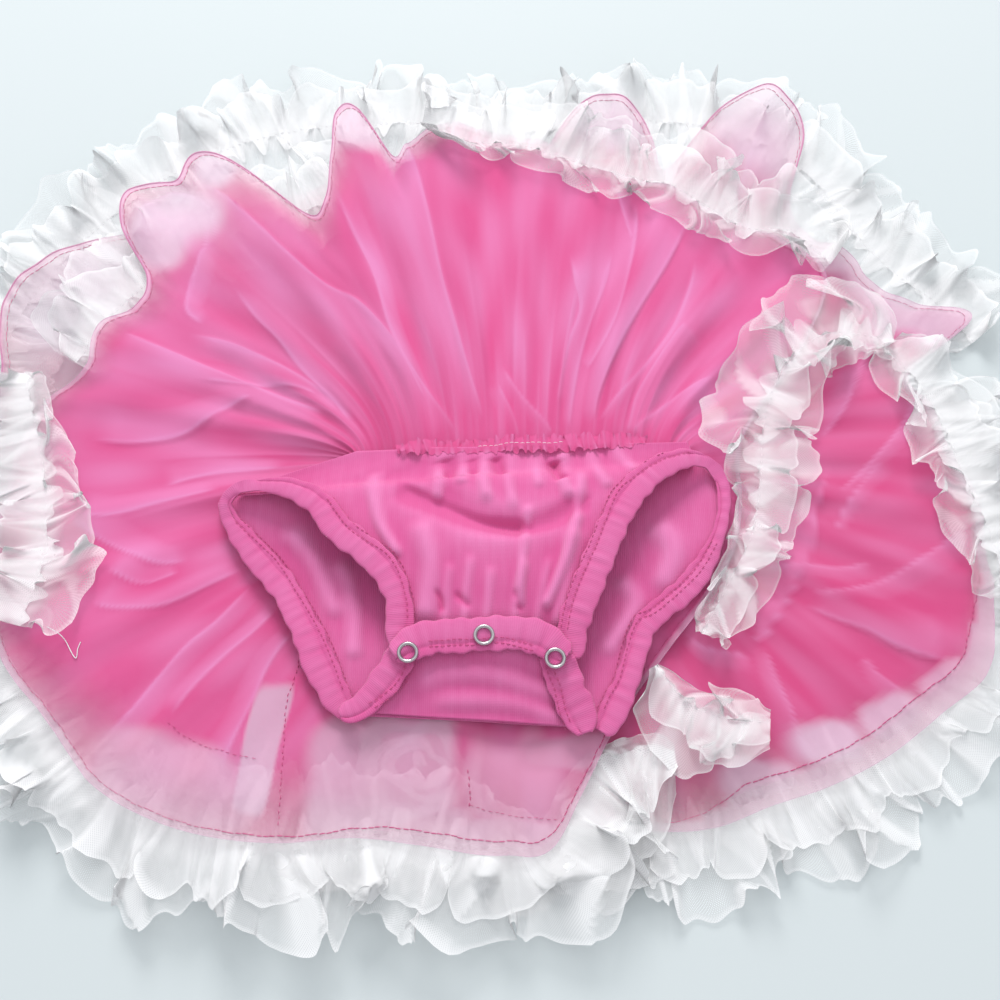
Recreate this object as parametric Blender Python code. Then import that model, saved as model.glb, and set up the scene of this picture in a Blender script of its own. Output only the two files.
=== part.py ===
"""Baby's ballet tutu bodysuit, laid flat on its back with the front skirt folded up.

The garment lies on a table, z = 0.  A tank-top bodice is spread above the waist, and the
knitted brief with its snapped crotch below it.  Two gathered chiffon skirts, each with a
front and a back panel, fan out from the waist in all directions, with their insides up,
and each hem carries a double-edged net ruffle sewn down along its middle.

Plan positions are in millimetres from the middle of the flat waist: x runs to the wearer's
left-hand side of the table, y towards the bodice.  Directions on the skirts are given in
"fan" coordinates: an angle, and a reach that is 40 mm on the flat waist line and turns
into a plain radius far from it.  Each piece is laid on the pieces under it: its lowest
point over each stretch of cloth clears whatever lies below by LAY_GAP.
"""

import math

import bpy
import numpy as np
from mathutils import Vector
from mathutils.bvhtree import BVHTree
from mathutils.geometry import tessellate_polygon

MM = 0.001

# ---- Driving sizes, in millimetres ---------------------------------------------------
WAIST_HALF = 80.0         # half the width of the waist, laid flat
WAIST_REACH = 41.5        # fan reach of the skirts' gathered top edge
CHIFFON = 1.1             # wall of the skirts, which stands for the gathered double cloth
NET = 1.2                 # wall of the ruffles
KNIT = 1.4                # wall of the brief and bodice
BINDING = 1.8             # wall of the leg bands and the snap placket
SEAM_GAP = 0.3            # between pieces that are sewn edge to edge
LAY_GAP = 0.35            # between a piece and what it lies on
RUFFLE_WAVE = 20.0        # length of one wave along a ruffle's stitch line
COLUMNS_PER_WAVE = 4
STITCH_WAVE = 1.0         # height of the waves along a ruffle's stitch line
SWELL = 0.44              # share by which some waves are lower than others
SWELL_LENGTH = 31.0       # how far along a ruffle its waves change, in mm a radian
HALF_WALL = 0.75          # from the underside to the middle of a wall on a slope, in walls
STEEPEST = 0.55           # least upright share of a wall's normal that its thickness allows for
COLUMN_STEP = 3.0         # degrees between the columns of a skirt
HEM_LIFT = 0.6            # mid height of cloth that lies straight on the table

PART_CENTRE = (-18.2, 3.6)    # middle of the whole outline, moved to the origin

# ---- Skirt tables ----------------------------------------------------------------------
# Hem of the outer skirt: angle in degrees, reach in mm.
OUTER_HEM = [
    (0, 201), (8, 196), (15, 193), (20, 236), (24, 214), (30, 200), (36, 202), (42, 194),
    (49, 210), (52, 240), (56, 251), (60, 250), (63, 228), (66, 186), (70, 200), (73, 214),
    (77, 219), (81, 212), (85, 187), (92, 182), (104, 186), (118, 187), (130, 196),
    (140, 212), (149, 242), (155, 262), (161, 266), (170, 252), (182, 246), (192, 243),
    (202, 232), (212, 214), (222, 201), (232, 193), (246, 185), (262, 178), (274, 180),
    (284, 187), (294, 197), (302, 200), (309, 207), (317, 215), (325, 222), (332, 231),
    (340, 225), (348, 215), (354, 211),
]
# Hem of the inner skirt, drawn in on one side of the brief.
INNER_HEM = [
    (0, 88), (8, 92), (18, 112), (27, 150), (35, 182), (44, 180), (54, 170), (64, 173),
    (76, 172), (84, 182), (92, 191), (102, 199), (107, 190), (110, 186), (112, 214),
    (115, 216), (118, 196), (122, 175), (127, 176), (130, 214), (133, 234), (138, 231),
    (143, 243), (147, 232), (151, 204), (156, 198), (161, 210), (168, 208), (173, 224),
    (182, 236), (192, 243), (204, 248), (213, 241), (222, 240), (230, 231), (241, 213),
    (250, 197), (258, 193), (268, 193), (274, 190), (278, 172), (283, 153), (290, 136),
    (298, 124), (312, 112), (326, 104), (342, 94), (352, 89),
]
# Folds of the skirts: angle at the waist, angle at the hem, share of the way out where
# the fold begins and ends, half width in degrees, height in mm.
OUTER_FOLDS = [
    (296, 300, 0.45, 1.00, 5, 5.0), (306, 312, 0.35, 0.98, 5, 7.0),
    (322, 322, 0.30, 0.96, 5, 6.0), (334, 332, 0.30, 0.95, 5, 8.0),
    (344, 342, 0.35, 1.00, 4, 6.0), (352, 351, 0.30, 0.95, 5, 8.0),
    (362, 361, 0.35, 0.95, 5, 7.0), (372, 370, 0.35, 0.98, 5, 6.0),
    (58, 58, 0.70, 1.00, 8, 6.0), (78, 78, 0.72, 1.00, 8, 5.0),
    (160, 160, 0.60, 1.00, 8, 5.0), (150, 150, 0.65, 1.00, 5, 5.0),
]
INNER_FOLDS = [
    (30, 37, 0.02, 0.95, 5, 6.0), (46, 47, 0.04, 0.95, 5, 7.0), (56, 55, 0.00, 0.80, 4, 6.0),
    (64, 63, 0.10, 1.00, 5, 8.0), (80, 74, 0.00, 0.90, 5, 6.0), (90, 86, 0.05, 1.00, 5, 5.0),
    (104, 103, 0.02, 1.00, 5, 9.0), (114, 113, 0.05, 1.00, 4, 8.0),
    (126, 121, 0.02, 0.98, 5, 8.0), (138, 131, 0.03, 1.00, 5, 9.0),
    (150, 142, 0.05, 1.00, 5, 8.0), (158, 152, 0.00, 0.92, 4, 7.0),
    (166, 162, 0.02, 0.95, 4, 7.0), (172, 171, 0.10, 1.00, 4, 6.0),
    (188, 190, 0.15, 1.00, 4, 6.0), (197, 199, 0.45, 1.00, 4, 6.0),
    (205, 207, 0.50, 1.00, 4, 7.0), (214, 214, 0.52, 1.00, 4, 6.0),
    (221, 222, 0.55, 0.95, 4, 6.0), (230, 231, 0.58, 1.00, 4, 5.0),
    (243, 243, 0.70, 1.00, 4, 5.0),
]

# ---- Ruffle tables ---------------------------------------------------------------------
# A point of the stitch line, and the widths to the inner and outer edges there, in mm.
# Going along a line, its outer edge is on the right.
RUFFLE_OUTER_BACK = [
    (-255, -14, 30, 36), (-243, -48, 30, 38), (-226, -78, 30, 38), (-194, -106, 30, 38),
    (-152, -128, 28, 38), (-100, -150, 28, 38), (-60, -160, 28, 38), (-18, -164, 28, 38),
    (26, -168, 28, 38), (66, -170, 28, 38), (106, -160, 28, 38), (146, -145, 28, 38),
    (182, -120, 26, 38), (206, -92, 24, 38), (213, -60, 24, 38), (212, -28, 26, 38),
    (206, 4, 28, 38), (200, 38, 28, 38),
]
RUFFLE_OUTER_FRONT = [
    (228, 64, 24, 34), (214, 84, 24, 34), (192, 104, 24, 34), (174, 128, 24, 34),
    (160, 154, 24, 34), (140, 176, 24, 34), (112, 190, 26, 34), (80, 196, 28, 34),
    (44, 194, 28, 34), (8, 190, 28, 34), (-30, 190, 28, 34), (-70, 194, 28, 34),
    (-108, 192, 28, 34), (-146, 182, 28, 34), (-180, 164, 28, 34), (-208, 140, 28, 34),
    (-232, 112, 28, 34), (-250, 82, 28, 34), (-258, 50, 28, 34), (-258, 18, 28, 34),
]
RUFFLE_INNER_BACK = [
    (-236, -88, 26, 36), (-214, -120, 28, 38), (-184, -154, 30, 38), (-160, -168, 30, 38),
    (-130, -176, 30, 40), (-98, -178, 30, 40), (-66, -176, 30, 40), (-34, -180, 28, 40),
    (-6, -183, 24, 40), (12, -178, 10, 42), (22, -162, 7, 44), (32, -148, 7, 46),
    (48, -140, 7, 46), (68, -140, 8, 42),
]
RUFFLE_INNER_FRONT_LEFT = [
    (-72, 160, 18, 34), (-92, 146, 20, 34), (-114, 136, 24, 34), (-138, 128, 24, 34),
    (-162, 114, 24, 34), (-184, 94, 24, 34), (-202, 72, 24, 34), (-216, 48, 24, 34),
]
RUFFLE_INNER_FRONT_RIGHT = [
    (158, 104, 14, 30), (138, 122, 14, 30), (116, 122, 16, 32), (98, 132, 16, 32),
    (76, 146, 16, 32), (44, 154, 14, 32), (20, 164, 12, 32), (-4, 174, 10, 30),
    (-28, 176, 8, 28), (-50, 184, 8, 26),
]
RUFFLE_INNER_LEFT = [
    (-242, 44, 8, 30), (-232, 16, 12, 34), (-226, -8, 16, 34), (-220, -34, 22, 34),
    (-218, -60, 25, 34), (-224, -86, 22, 34),
]
RUFFLE_INNER_SIDE = [
    (84, -84, 4, 12), (97, -62, 8, 18), (109, -38, 9, 20), (114, -12, 12, 24),
    (118, 16, 26, 24), (129, 44, 30, 24), (148, 62, 30, 16), (168, 64, 26, 12),
]
RUFFLE_INNER_TAIL = [
    (60, -104, 6, 16), (72, -118, 10, 26), (90, -126, 14, 30), (110, -128, 14, 30),
]
RUFFLE_OUTER_SIDE = [
    (222, -70, 16, 26), (218, -40, 18, 28), (210, -12, 20, 30), (204, 14, 20, 30),
    (196, 36, 18, 30), (184, 52, 16, 28),
]

# ---- Brief tables ----------------------------------------------------------------------
# A section from the left edge to the right edge: x, y of the left end, x, y of the right
# end, and the height of the hollow under it at the left end, the middle and the right end.
BRIEF_BACK = [
    (-76, -4, 80, 2, 0, 0, 0), (-137, -21, 88, -4, 0, 0, 0), (-136, -33, 96, -20, 0, 0, 0),
    (-125, -49, 92, -42, 0, 0, 0), (-112, -65, 78, -66, 0, 0, 0),
    (-102, -83, 58, -85, 0, 0, 0), (-94, -99, 52, -104, 0, 0, 0),
    (-86, -115, 45, -121, 0, 0, 0), (-70, -126, 36, -131, 0, 0, 0),
]
BRIEF_FRONT = [
    (-74, -3, 80, 4, 0, 3, 0), (-132, -20, 82, -3, 0, 7, 1), (-104, -23, 66, -11, 7, 11, 6),
    (-87, -37, 52, -24, 10, 13, 9), (-71, -52, 41, -44, 11, 14, 10),
    (-58, -66, 32, -66, 9, 12, 9), (-54, -82, 26, -83, 6, 8, 6),
    (-53, -98, 22, -99, 2, 3, 2),
]
CROTCH_FLAP = [
    (-73, -125, 30, -131, 0, 0, 0), (-65, -118, 27, -122, 0, 1, 0),
    (-58, -108, 23, -112, 0, 1, 0), (-54, -100, 19, -104, 0, 0, 0),
    (-46, -94, 14, -97, 0, 0, 0), (-39, -89, 8, -90, 0, 0, 0),
]
BRIEF_COLUMNS = 10

# Middle line of each knitted band: x, y, and half the band's width there.
LEG_BAND_LEFT = [
    (-53, -93, 6), (-53, -85, 6), (-54, -76, 5.6), (-60, -63, 6.4), (-72, -51, 6.4),
    (-83, -42, 6.5), (-91, -31, 6), (-105, -22, 5), (-121, -19, 3), (-132, -20, 2.8),
    (-137, -26, 2.8), (-135, -33, 3.6), (-130, -40, 5), (-123, -49, 6), (-116, -57, 6.4),
    (-106, -69, 6.2), (-100, -80, 6.2), (-94, -91, 6.7), (-90, -101, 7.2), (-85, -110, 7),
    (-80, -119, 6), (-74, -126, 5),
]
LEG_BAND_RIGHT = [
    (23, -95, 6.6), (23, -88, 6.7), (27, -77, 6.9), (33, -62, 6.9), (38, -50, 6.7),
    (45, -35, 6.5), (54, -21, 6.6), (62, -13, 6), (72, -7, 5.4), (82, -4, 4), (90, -6, 3),
    (95, -13, 3), (96, -23, 2.8), (94, -35, 2.6), (90, -46, 3.4), (84, -57, 5), (75, -68, 5.5),
    (64, -77, 5.3), (56, -85, 5.4), (52, -96, 5), (48, -108, 5.2), (43, -119, 6),
    (39, -127, 6), (35, -133, 5),
]
FLAP_BAND_LEFT = [(-73, -125, 4), (-65, -119, 5.6), (-58, -111, 6.7), (-54, -102, 6.9)]
FLAP_BAND_RIGHT = [(27, -131, 7), (25, -125, 7.6), (21, -117, 7.8), (18, -106, 7.6)]
PLACKET = [
    (-52, -99, 7), (-47, -96, 7.4), (-40, -94, 7.5), (-27, -93, 7.5), (-13, -92, 7.5),
    (0, -92, 7.5), (11, -96, 7.5), (17, -101, 7.4),
]
WAIST_FRILL = [(-58, 1, 4), (-36, 3, 4), (-10, 4, 4), (16, 4, 4), (40, 6, 4), (62, 8, 4)]
FRILL_WAVES = 12

SNAPS = [("snap_1", -49, -101), ("snap_2", -16, -93), ("snap_3", 15, -103)]
SNAP_RADIUS = 3.9         # to the middle of the ring's wall
SNAP_WALL = 0.9           # half the thickness of the ring

# ---- Bodice and rosette ----------------------------------------------------------------
BODICE_WAIST_HALF = 80.0
BODICE_CHEST_HALF = 92.0
BODICE_UNDERARM = 108.0   # height of the underarm above the waist
BODICE_SHOULDER = 172.0   # height of the shoulder tips
STRAP_INNER = 38.0
STRAP_OUTER = 64.0
ROSETTE_CENTRE = (-43.0, -147.0)
ROSETTE_RADIUS = 32.0
ROSETTE_HEIGHT = 5.0
ROSETTE_TURNS = 3.0

# ---- Materials: colour, roughness, metallic --------------------------------------------
FINISHES = {
    "chiffon_pink": ((0.86, 0.22, 0.50), 0.75, 0.0),
    "knit_pink": ((0.80, 0.16, 0.42), 0.85, 0.0),
    "net_white": ((0.93, 0.92, 0.94), 0.80, 0.0),
    "snap_metal": ((0.72, 0.69, 0.70), 0.30, 1.0),
}


def finish(kind, name):
    """A material of its own for one piece."""
    colour, roughness, metallic = FINISHES[kind]
    material = bpy.data.materials.new(name + "_finish")
    material.use_nodes = True
    shader = material.node_tree.nodes["Principled BSDF"]
    shader.inputs["Base Color"].default_value = (*colour, 1.0)
    shader.inputs["Roughness"].default_value = roughness
    shader.inputs["Metallic"].default_value = metallic
    return material


# ---- Curves and coordinates ------------------------------------------------------------
def fan(angle, reach):
    """Plan position of a fan angle (degrees) and reach; the waist line has reach 40."""
    turn = np.radians(angle)
    squeeze = (WAIST_HALF / 2.0) ** 2 / reach
    return (reach + squeeze) * np.cos(turn), (reach - squeeze) * np.sin(turn)


def through(knots, values, at, period=None):
    """Smooth curve through (knots, values), read at the points of the array at."""
    knots = np.asarray(knots, float)
    values = np.asarray(values, float)
    if period:
        knots = np.concatenate([knots - period, knots, knots + period])
        values = np.concatenate([values, values, values])
        at = np.mod(at, period)
    slopes = np.gradient(values, knots, axis=0)
    cell = np.clip(np.searchsorted(knots, at, side="right") - 1, 0, len(knots) - 2)
    width = knots[cell + 1] - knots[cell]
    t = (at - knots[cell]) / width
    if values.ndim == 2:
        t = t[:, None]
        width = width[:, None]
    rise = t * t * (3 - 2 * t)
    return (
        values[cell] * (1 - rise) + values[cell + 1] * rise
        + slopes[cell] * width * t * (1 - t) ** 2
        - slopes[cell + 1] * width * t * t * (1 - t)
    )


def path_through(rows, spacing):
    """Even steps of about the given spacing along a table's line, with all its columns."""
    rows = np.asarray(rows, float)
    chord = np.hypot(*np.diff(rows[:, :2], axis=0).T)
    knots = np.concatenate([[0.0], np.cumsum(chord)])
    fine = through(knots, rows, np.linspace(0.0, knots[-1], 400))
    length = np.concatenate([[0.0], np.cumsum(np.hypot(*np.diff(fine[:, :2], axis=0).T))])
    steps = max(2, round(length[-1] / spacing))
    along = np.linspace(0.0, length[-1], steps + 1)
    points = np.stack([np.interp(along, length, column) for column in fine.T], axis=1)
    return points, along


def right_side(points):
    """Unit vectors to the right of a line's direction, one at each of its points."""
    ahead = np.gradient(points[:, :2], axis=0)
    ahead /= np.hypot(ahead[:, 0], ahead[:, 1])[:, None]
    return np.stack([ahead[:, 1], -ahead[:, 0]], axis=1)


def bump(offset):
    """1 at offset 0, falling smoothly to 0 at offsets of -1 and 1."""
    return np.where(np.abs(offset) < 1.0, np.cos(offset * math.pi / 2.0) ** 2, 0.0)


# ---- Laying cloth on cloth -------------------------------------------------------------
class Pile:
    """The pieces made so far, which later pieces are laid on."""

    def __init__(self):
        self.verts = []
        self.faces = []
        self.tree = None

    def add(self, verts, faces):
        start = len(self.verts)
        self.verts.extend(verts)
        self.faces.extend([[start + index for index in face] for face in faces])
        self.tree = None

    def top(self, x, y):
        """Height of the pile over one plan position, 0 on the bare table."""
        if not self.faces:
            return 0.0
        if self.tree is None:
            self.tree = BVHTree.FromPolygons(self.verts, self.faces)
        hit = self.tree.ray_cast(Vector((x, y, 500.0)), Vector((0.0, 0.0, -1.0)))[0]
        return hit.z if hit else 0.0


LAY_STEP = 2.0            # spacing of the samples of the pile under a piece


def steps_along(plan, axis):
    """Samples to take in each cell of a plan grid, along one of its directions."""
    return max(3, math.ceil(np.linalg.norm(np.diff(plan, axis=axis), axis=-1).max() / LAY_STEP))


def subdivide(grid, axis, steps):
    """The same grid with each cell split into so many along one direction."""
    count = grid.shape[axis]
    at = np.linspace(0, count - 1, (count - 1) * steps + 1)
    low = np.minimum(at.astype(int), count - 2)
    share = (at - low).reshape([-1 if a == axis else 1 for a in range(3)])
    return np.take(grid, low, axis) * (1 - share) + np.take(grid, low + 1, axis) * share


def rest_heights(plan, pile, closed=False):
    """Lowest height for each grid point at which the cells around it clear the pile."""
    if closed:
        plan = np.concatenate([plan[-2:-1], plan, plan[1:2]])
    steps_i, steps_j = steps_along(plan, 0), steps_along(plan, 1)
    fine = subdivide(subdivide(plan, 0, steps_i), 1, steps_j)
    around = np.array([[pile.top(x, y) for x, y in row] for row in fine])
    for axis, steps in ((0, steps_i), (1, steps_j)):
        count = around.shape[axis]
        pad = [(steps, steps) if a == axis else (0, 0) for a in (0, 1)]
        padded = np.pad(around, pad, mode="edge")
        around = np.max([np.take(padded, range(k, k + count), axis)
                         for k in range(2 * steps + 1)], axis=0)
    rest = around[::steps_i, ::steps_j]
    return rest[1:-1] if closed else rest


def soften(heights, passes):
    """Fills the hollows of a height grid a little, and never lowers a point."""
    for _ in range(passes):
        padded = np.pad(heights, 1, mode="edge")
        mean = (padded[2:, 1:-1] + padded[:-2, 1:-1] + padded[1:-1, 2:] + padded[1:-1, :-2]) / 4.0
        heights = np.maximum(heights, mean)
    return heights


def upright_wall(plan, heights, wall):
    """The wall's thickness measured straight up, where the cloth slopes."""
    xu, yu, zu = (np.gradient(c, axis=0) for c in (plan[..., 0], plan[..., 1], heights))
    xv, yv, zv = (np.gradient(c, axis=1) for c in (plan[..., 0], plan[..., 1], heights))
    normal = np.stack([yu * zv - zu * yv, zu * xv - xu * zv, xu * yv - yu * xv], axis=-1)
    upright = np.abs(normal[..., 2]) / np.maximum(np.linalg.norm(normal, axis=-1), 1e-9)
    return wall / np.clip(upright, STEEPEST, 1.0)


# ---- Making solids ---------------------------------------------------------------------
PARTS = bpy.data.collections.new("tutu_bodysuit")
PILE = Pile()


def add_object(name, verts, faces, kind, smooth=True):
    """One closed solid, moved so that the whole garment stands about the origin."""
    centre_x, centre_y = PART_CENTRE
    mesh = bpy.data.meshes.new(name)
    placed = [((x - centre_x) * MM, (y - centre_y) * MM, z * MM) for x, y, z in verts]
    mesh.from_pydata(placed, [], faces)
    mesh.materials.append(finish(kind, name))
    if smooth:
        mesh.shade_smooth()
    piece = bpy.data.objects.new(name, mesh)
    PARTS.objects.link(piece)


def shell_faces(count_i, count_j):
    """Triangles of a wall with an upper and a lower grid of count_i by count_j points."""
    lower = count_i * count_j
    faces = []
    for i in range(count_i - 1):
        for j in range(count_j - 1):
            a, b = i * count_j + j, (i + 1) * count_j + j
            for triangle in ([a, b, b + 1], [a, b + 1, a + 1]):
                faces.append(triangle)
                faces.append([lower + k for k in reversed(triangle)])
    rim = [i * count_j for i in range(count_i)]
    rim += [(count_i - 1) * count_j + j for j in range(1, count_j)]
    rim += [i * count_j + count_j - 1 for i in range(count_i - 2, -1, -1)]
    rim += [j for j in range(count_j - 2, 0, -1)]
    for a, b in zip(rim, rim[1:] + rim[:1]):
        faces.append([a, lower + a, lower + b])
        faces.append([a, lower + b, b])
    return faces


def cloth(name, plan, heights, wall, kind):
    """A cloth piece: a wall about the height grid, never lower than the table."""
    count_i, count_j = heights.shape
    thick = upright_wall(plan, heights, wall)
    low = np.maximum(heights - thick / 2.0, 0.0)
    high = low + thick
    xy = plan.reshape(-1, 2)
    verts = np.concatenate([
        np.column_stack([xy, high.reshape(-1)]),
        np.column_stack([xy, low.reshape(-1)]),
    ])
    faces = shell_faces(count_i, count_j)
    along, across = np.diff(plan, axis=0)[:, :-1], np.diff(plan, axis=1)[:-1]
    facing_up = (along[..., 0] * across[..., 1] - along[..., 1] * across[..., 0]).sum() > 0
    if not facing_up:
        faces = [face[::-1] for face in faces]
    verts = [tuple(float(c) for c in vert) for vert in verts]
    PILE.add(verts, faces)
    add_object(name, verts, faces, kind)


# ---- Skirts ----------------------------------------------------------------------------
def skirt_plan(hem, shares):
    """Closed grid of plan positions, a column for each step of the angle."""
    angles = np.arange(0.0, 360.0 + COLUMN_STEP / 2.0, COLUMN_STEP)
    hem = np.asarray(hem, float)
    reach = through(hem[:, 0], hem[:, 1], angles, period=360.0)
    reaches = WAIST_REACH + (reach[:, None] - WAIST_REACH) * np.asarray(shares)[None, :]
    x, y = fan(angles[:, None], reaches)
    return angles, np.stack([x, y], axis=-1)


def fold_heights(folds, angles, shares):
    """Height of the folds over a skirt's grid."""
    share = np.asarray(shares, float)[None, :]
    angle = np.asarray(angles, float)[:, None]
    heights = np.zeros((angle.shape[0], share.shape[1]))
    for at_waist, at_hem, begin, end, half_width, height in folds:
        along = np.clip((share - begin) / (end - begin), 0.0, 1.0)
        grow = np.clip(along * 5.0, 0.0, 1.0) * np.where(share >= begin, 1.0, 0.0)
        fade = 1.0 - 0.65 * np.clip((along - 0.6) / 0.4, 0.0, 1.0)
        centre = at_waist + (at_hem - at_waist) * share
        offset = np.mod(angle - centre + 180.0, 360.0) - 180.0
        heights = np.maximum(heights, height * bump(offset / half_width) * grow * fade)
    return heights


def make_skirt(name, hem, folds, shares, softening):
    """One skirt, laid all round in one go and split at its side seams."""
    angles, plan = skirt_plan(hem, shares)
    rest = rest_heights(plan, PILE, closed=True)
    rest = soften(rest, softening)
    heights = np.maximum(HEM_LIFT, rest + LAY_GAP + CHIFFON * HALF_WALL)
    heights = heights + fold_heights(folds, angles, shares)
    seam = int(round(180.0 / COLUMN_STEP))
    halves = {
        "back": (slice(seam, None), -SEAM_GAP / 2.0),
        "front": (slice(0, seam + 1), SEAM_GAP / 2.0),
    }
    for side, (columns, shift) in halves.items():
        half_plan = plan[columns] + np.array([0.0, shift])
        cloth(f"{name}_{side}", half_plan, heights[columns], CHIFFON, "chiffon_pink")


# ---- Ruffles ---------------------------------------------------------------------------
def make_ruffle(name, rows, inner_wave, outer_wave):
    """A net strip gathered along its middle: its two edges rise and fall in waves."""
    points, along = path_through(rows, RUFFLE_WAVE / COLUMNS_PER_WAVE)
    side = right_side(points)
    waves = round(along[-1] / RUFFLE_WAVE)
    phase = along / along[-1] * waves * 2.0 * math.pi
    swell = 1.0 - SWELL * (0.5 - 0.5 * np.sin(along / SWELL_LENGTH + 1.0))
    wave = 0.5 - 0.5 * np.cos(phase)
    offsets = np.stack([-points[:, 2], np.zeros(len(points)), points[:, 3]], axis=1)
    plan = points[:, None, :2] + side[:, None, :] * offsets[..., None]
    crest = np.stack([
        inner_wave * swell * wave, STITCH_WAVE * wave, outer_wave * swell * wave,
    ], axis=1)
    rest = rest_heights(plan, PILE)
    heights = np.maximum(HEM_LIFT, rest + LAY_GAP + NET * HALF_WALL) + crest
    cloth(name, plan, heights, NET, "net_white")


# ---- Brief -----------------------------------------------------------------------------
def make_panel(name, sections, wall):
    """A knitted panel laid over what is under it, raised by its sections' hollow."""
    sections = np.asarray(sections, float)
    across = np.linspace(0.0, 1.0, BRIEF_COLUMNS + 1)
    left, right = sections[:, None, 0:2], sections[:, None, 2:4]
    plan = left + (right - left) * across[None, :, None]
    hollow = np.stack([np.interp(across, [0.0, 0.5, 1.0], row) for row in sections[:, 4:7]])
    rest = soften(rest_heights(plan, PILE), 2)
    heights = rest + LAY_GAP + wall * HALF_WALL + hollow
    cloth(name, plan, heights, wall, "knit_pink")


def make_band(name, rows, wall, spacing=9.0, wave=0.0, waves=0, kind="knit_pink"):
    """A flat strip along a line, laid over the panels under it."""
    points, along = path_through(rows, spacing)
    side = right_side(points)
    offsets = np.stack([-points[:, 2], points[:, 2]], axis=1)
    plan = points[:, None, :2] + side[:, None, :] * offsets[..., None]
    rest = rest_heights(plan, PILE)
    lift = wave * (0.5 - 0.5 * np.cos(along / along[-1] * waves * 2.0 * math.pi))
    heights = rest + LAY_GAP + wall * HALF_WALL + lift[:, None]
    cloth(name, plan, heights, wall, kind)


def make_snap(name, x, y):
    """An open ring snap lying on the placket."""
    reach = SNAP_RADIUS + SNAP_WALL
    rim = [(x + reach * math.cos(t), y + reach * math.sin(t)) for t in np.linspace(0, 6.0, 13)]
    base = max(PILE.top(*point) for point in rim + [(x, y)])
    bpy.ops.mesh.primitive_torus_add(
        major_radius=SNAP_RADIUS * MM, minor_radius=SNAP_WALL * MM,
        major_segments=20, minor_segments=8,
        location=((x - PART_CENTRE[0]) * MM, (y - PART_CENTRE[1]) * MM,
                  (base + LAY_GAP + SNAP_WALL) * MM),
    )
    ring = bpy.context.object
    ring.name = name
    ring.data.materials.append(finish("snap_metal", name))
    ring.data.shade_smooth()


# ---- Bodice and rosette ----------------------------------------------------------------
def arc(start, middle, end, steps):
    """Points of a quadratic curve from start to end, drawn towards middle."""
    return [
        tuple((1 - t) ** 2 * a + 2 * t * (1 - t) * m + t * t * b
              for a, m, b in zip(start, middle, end))
        for t in np.linspace(0.0, 1.0, steps + 1)
    ]


def bodice_outline(neck_depth):
    """Outline of a tank-top panel, counter-clockwise from the waist's left end."""
    armhole = arc((BODICE_CHEST_HALF, BODICE_UNDERARM), (STRAP_OUTER, BODICE_UNDERARM + 6.0),
                  (STRAP_OUTER, BODICE_SHOULDER), 6)
    neck = arc((STRAP_INNER, BODICE_SHOULDER), (STRAP_INNER * 0.75, BODICE_SHOULDER - neck_depth),
               (0.0, BODICE_SHOULDER - neck_depth), 6)
    right = [(BODICE_WAIST_HALF, 4.0)] + armhole + neck
    left = [(-x, y) for x, y in reversed(right[:-1])]
    return right + left


def make_bodice(name, neck_depth, bottom):
    """A flat bodice panel, an upright wall of the outline."""
    outline = bodice_outline(neck_depth)
    count = len(outline)
    verts = [(x, y, bottom) for x, y in outline] + [(x, y, bottom + KNIT) for x, y in outline]
    faces = [list(range(count))[::-1], [count + k for k in range(count)]]
    faces += [[k, (k + 1) % count, count + (k + 1) % count, count + k] for k in range(count)]
    lid = tessellate_polygon([[Vector((x, y, 0.0)) for x, y in outline]])
    PILE.add(verts, [[count + k for k in triangle] for triangle in lid])
    add_object(name, verts, faces, "knit_pink", smooth=False)


def make_rosette():
    """A low flower of rolled net: one ridge that winds outwards round a dome."""
    rings, spokes = 6, 24
    base_height = max(PILE.top(ROSETTE_CENTRE[0] + reach * math.cos(turn),
                               ROSETTE_CENTRE[1] + reach * math.sin(turn))
                      for reach in np.linspace(0.0, ROSETTE_RADIUS, 12)
                      for turn in np.linspace(0.0, 2.0 * math.pi, 36)) + LAY_GAP
    verts = [(*ROSETTE_CENTRE, base_height + ROSETTE_HEIGHT)]
    for ring in range(1, rings + 1):
        share = ring / rings
        for spoke in range(spokes):
            turn = 2.0 * math.pi * spoke / spokes
            ridge = 0.5 + 0.5 * math.cos(turn - share * ROSETTE_TURNS * 2.0 * math.pi)
            height = (1.0 - 0.5 * share ** 2) * ROSETTE_HEIGHT * (0.55 + 0.45 * ridge)
            reach = ROSETTE_RADIUS * share
            verts.append((ROSETTE_CENTRE[0] + reach * math.cos(turn),
                          ROSETTE_CENTRE[1] + reach * math.sin(turn), base_height + height))
    base = len(verts)
    last = base - spokes
    verts += [(x, y, base_height) for x, y, _ in verts[last:]]
    faces = [[0, 1 + k, 1 + (k + 1) % spokes] for k in range(spokes)]
    for ring in range(rings - 1):
        first = 1 + ring * spokes
        for k in range(spokes):
            after = (k + 1) % spokes
            faces.append([first + k, first + spokes + k, first + spokes + after, first + after])
    faces += [[last + k, base + k, base + (k + 1) % spokes, last + (k + 1) % spokes]
              for k in range(spokes)]
    faces.append([base + k for k in range(spokes)][::-1])
    PILE.add(verts, faces)
    add_object("rosette", verts, faces, "net_white")


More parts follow.
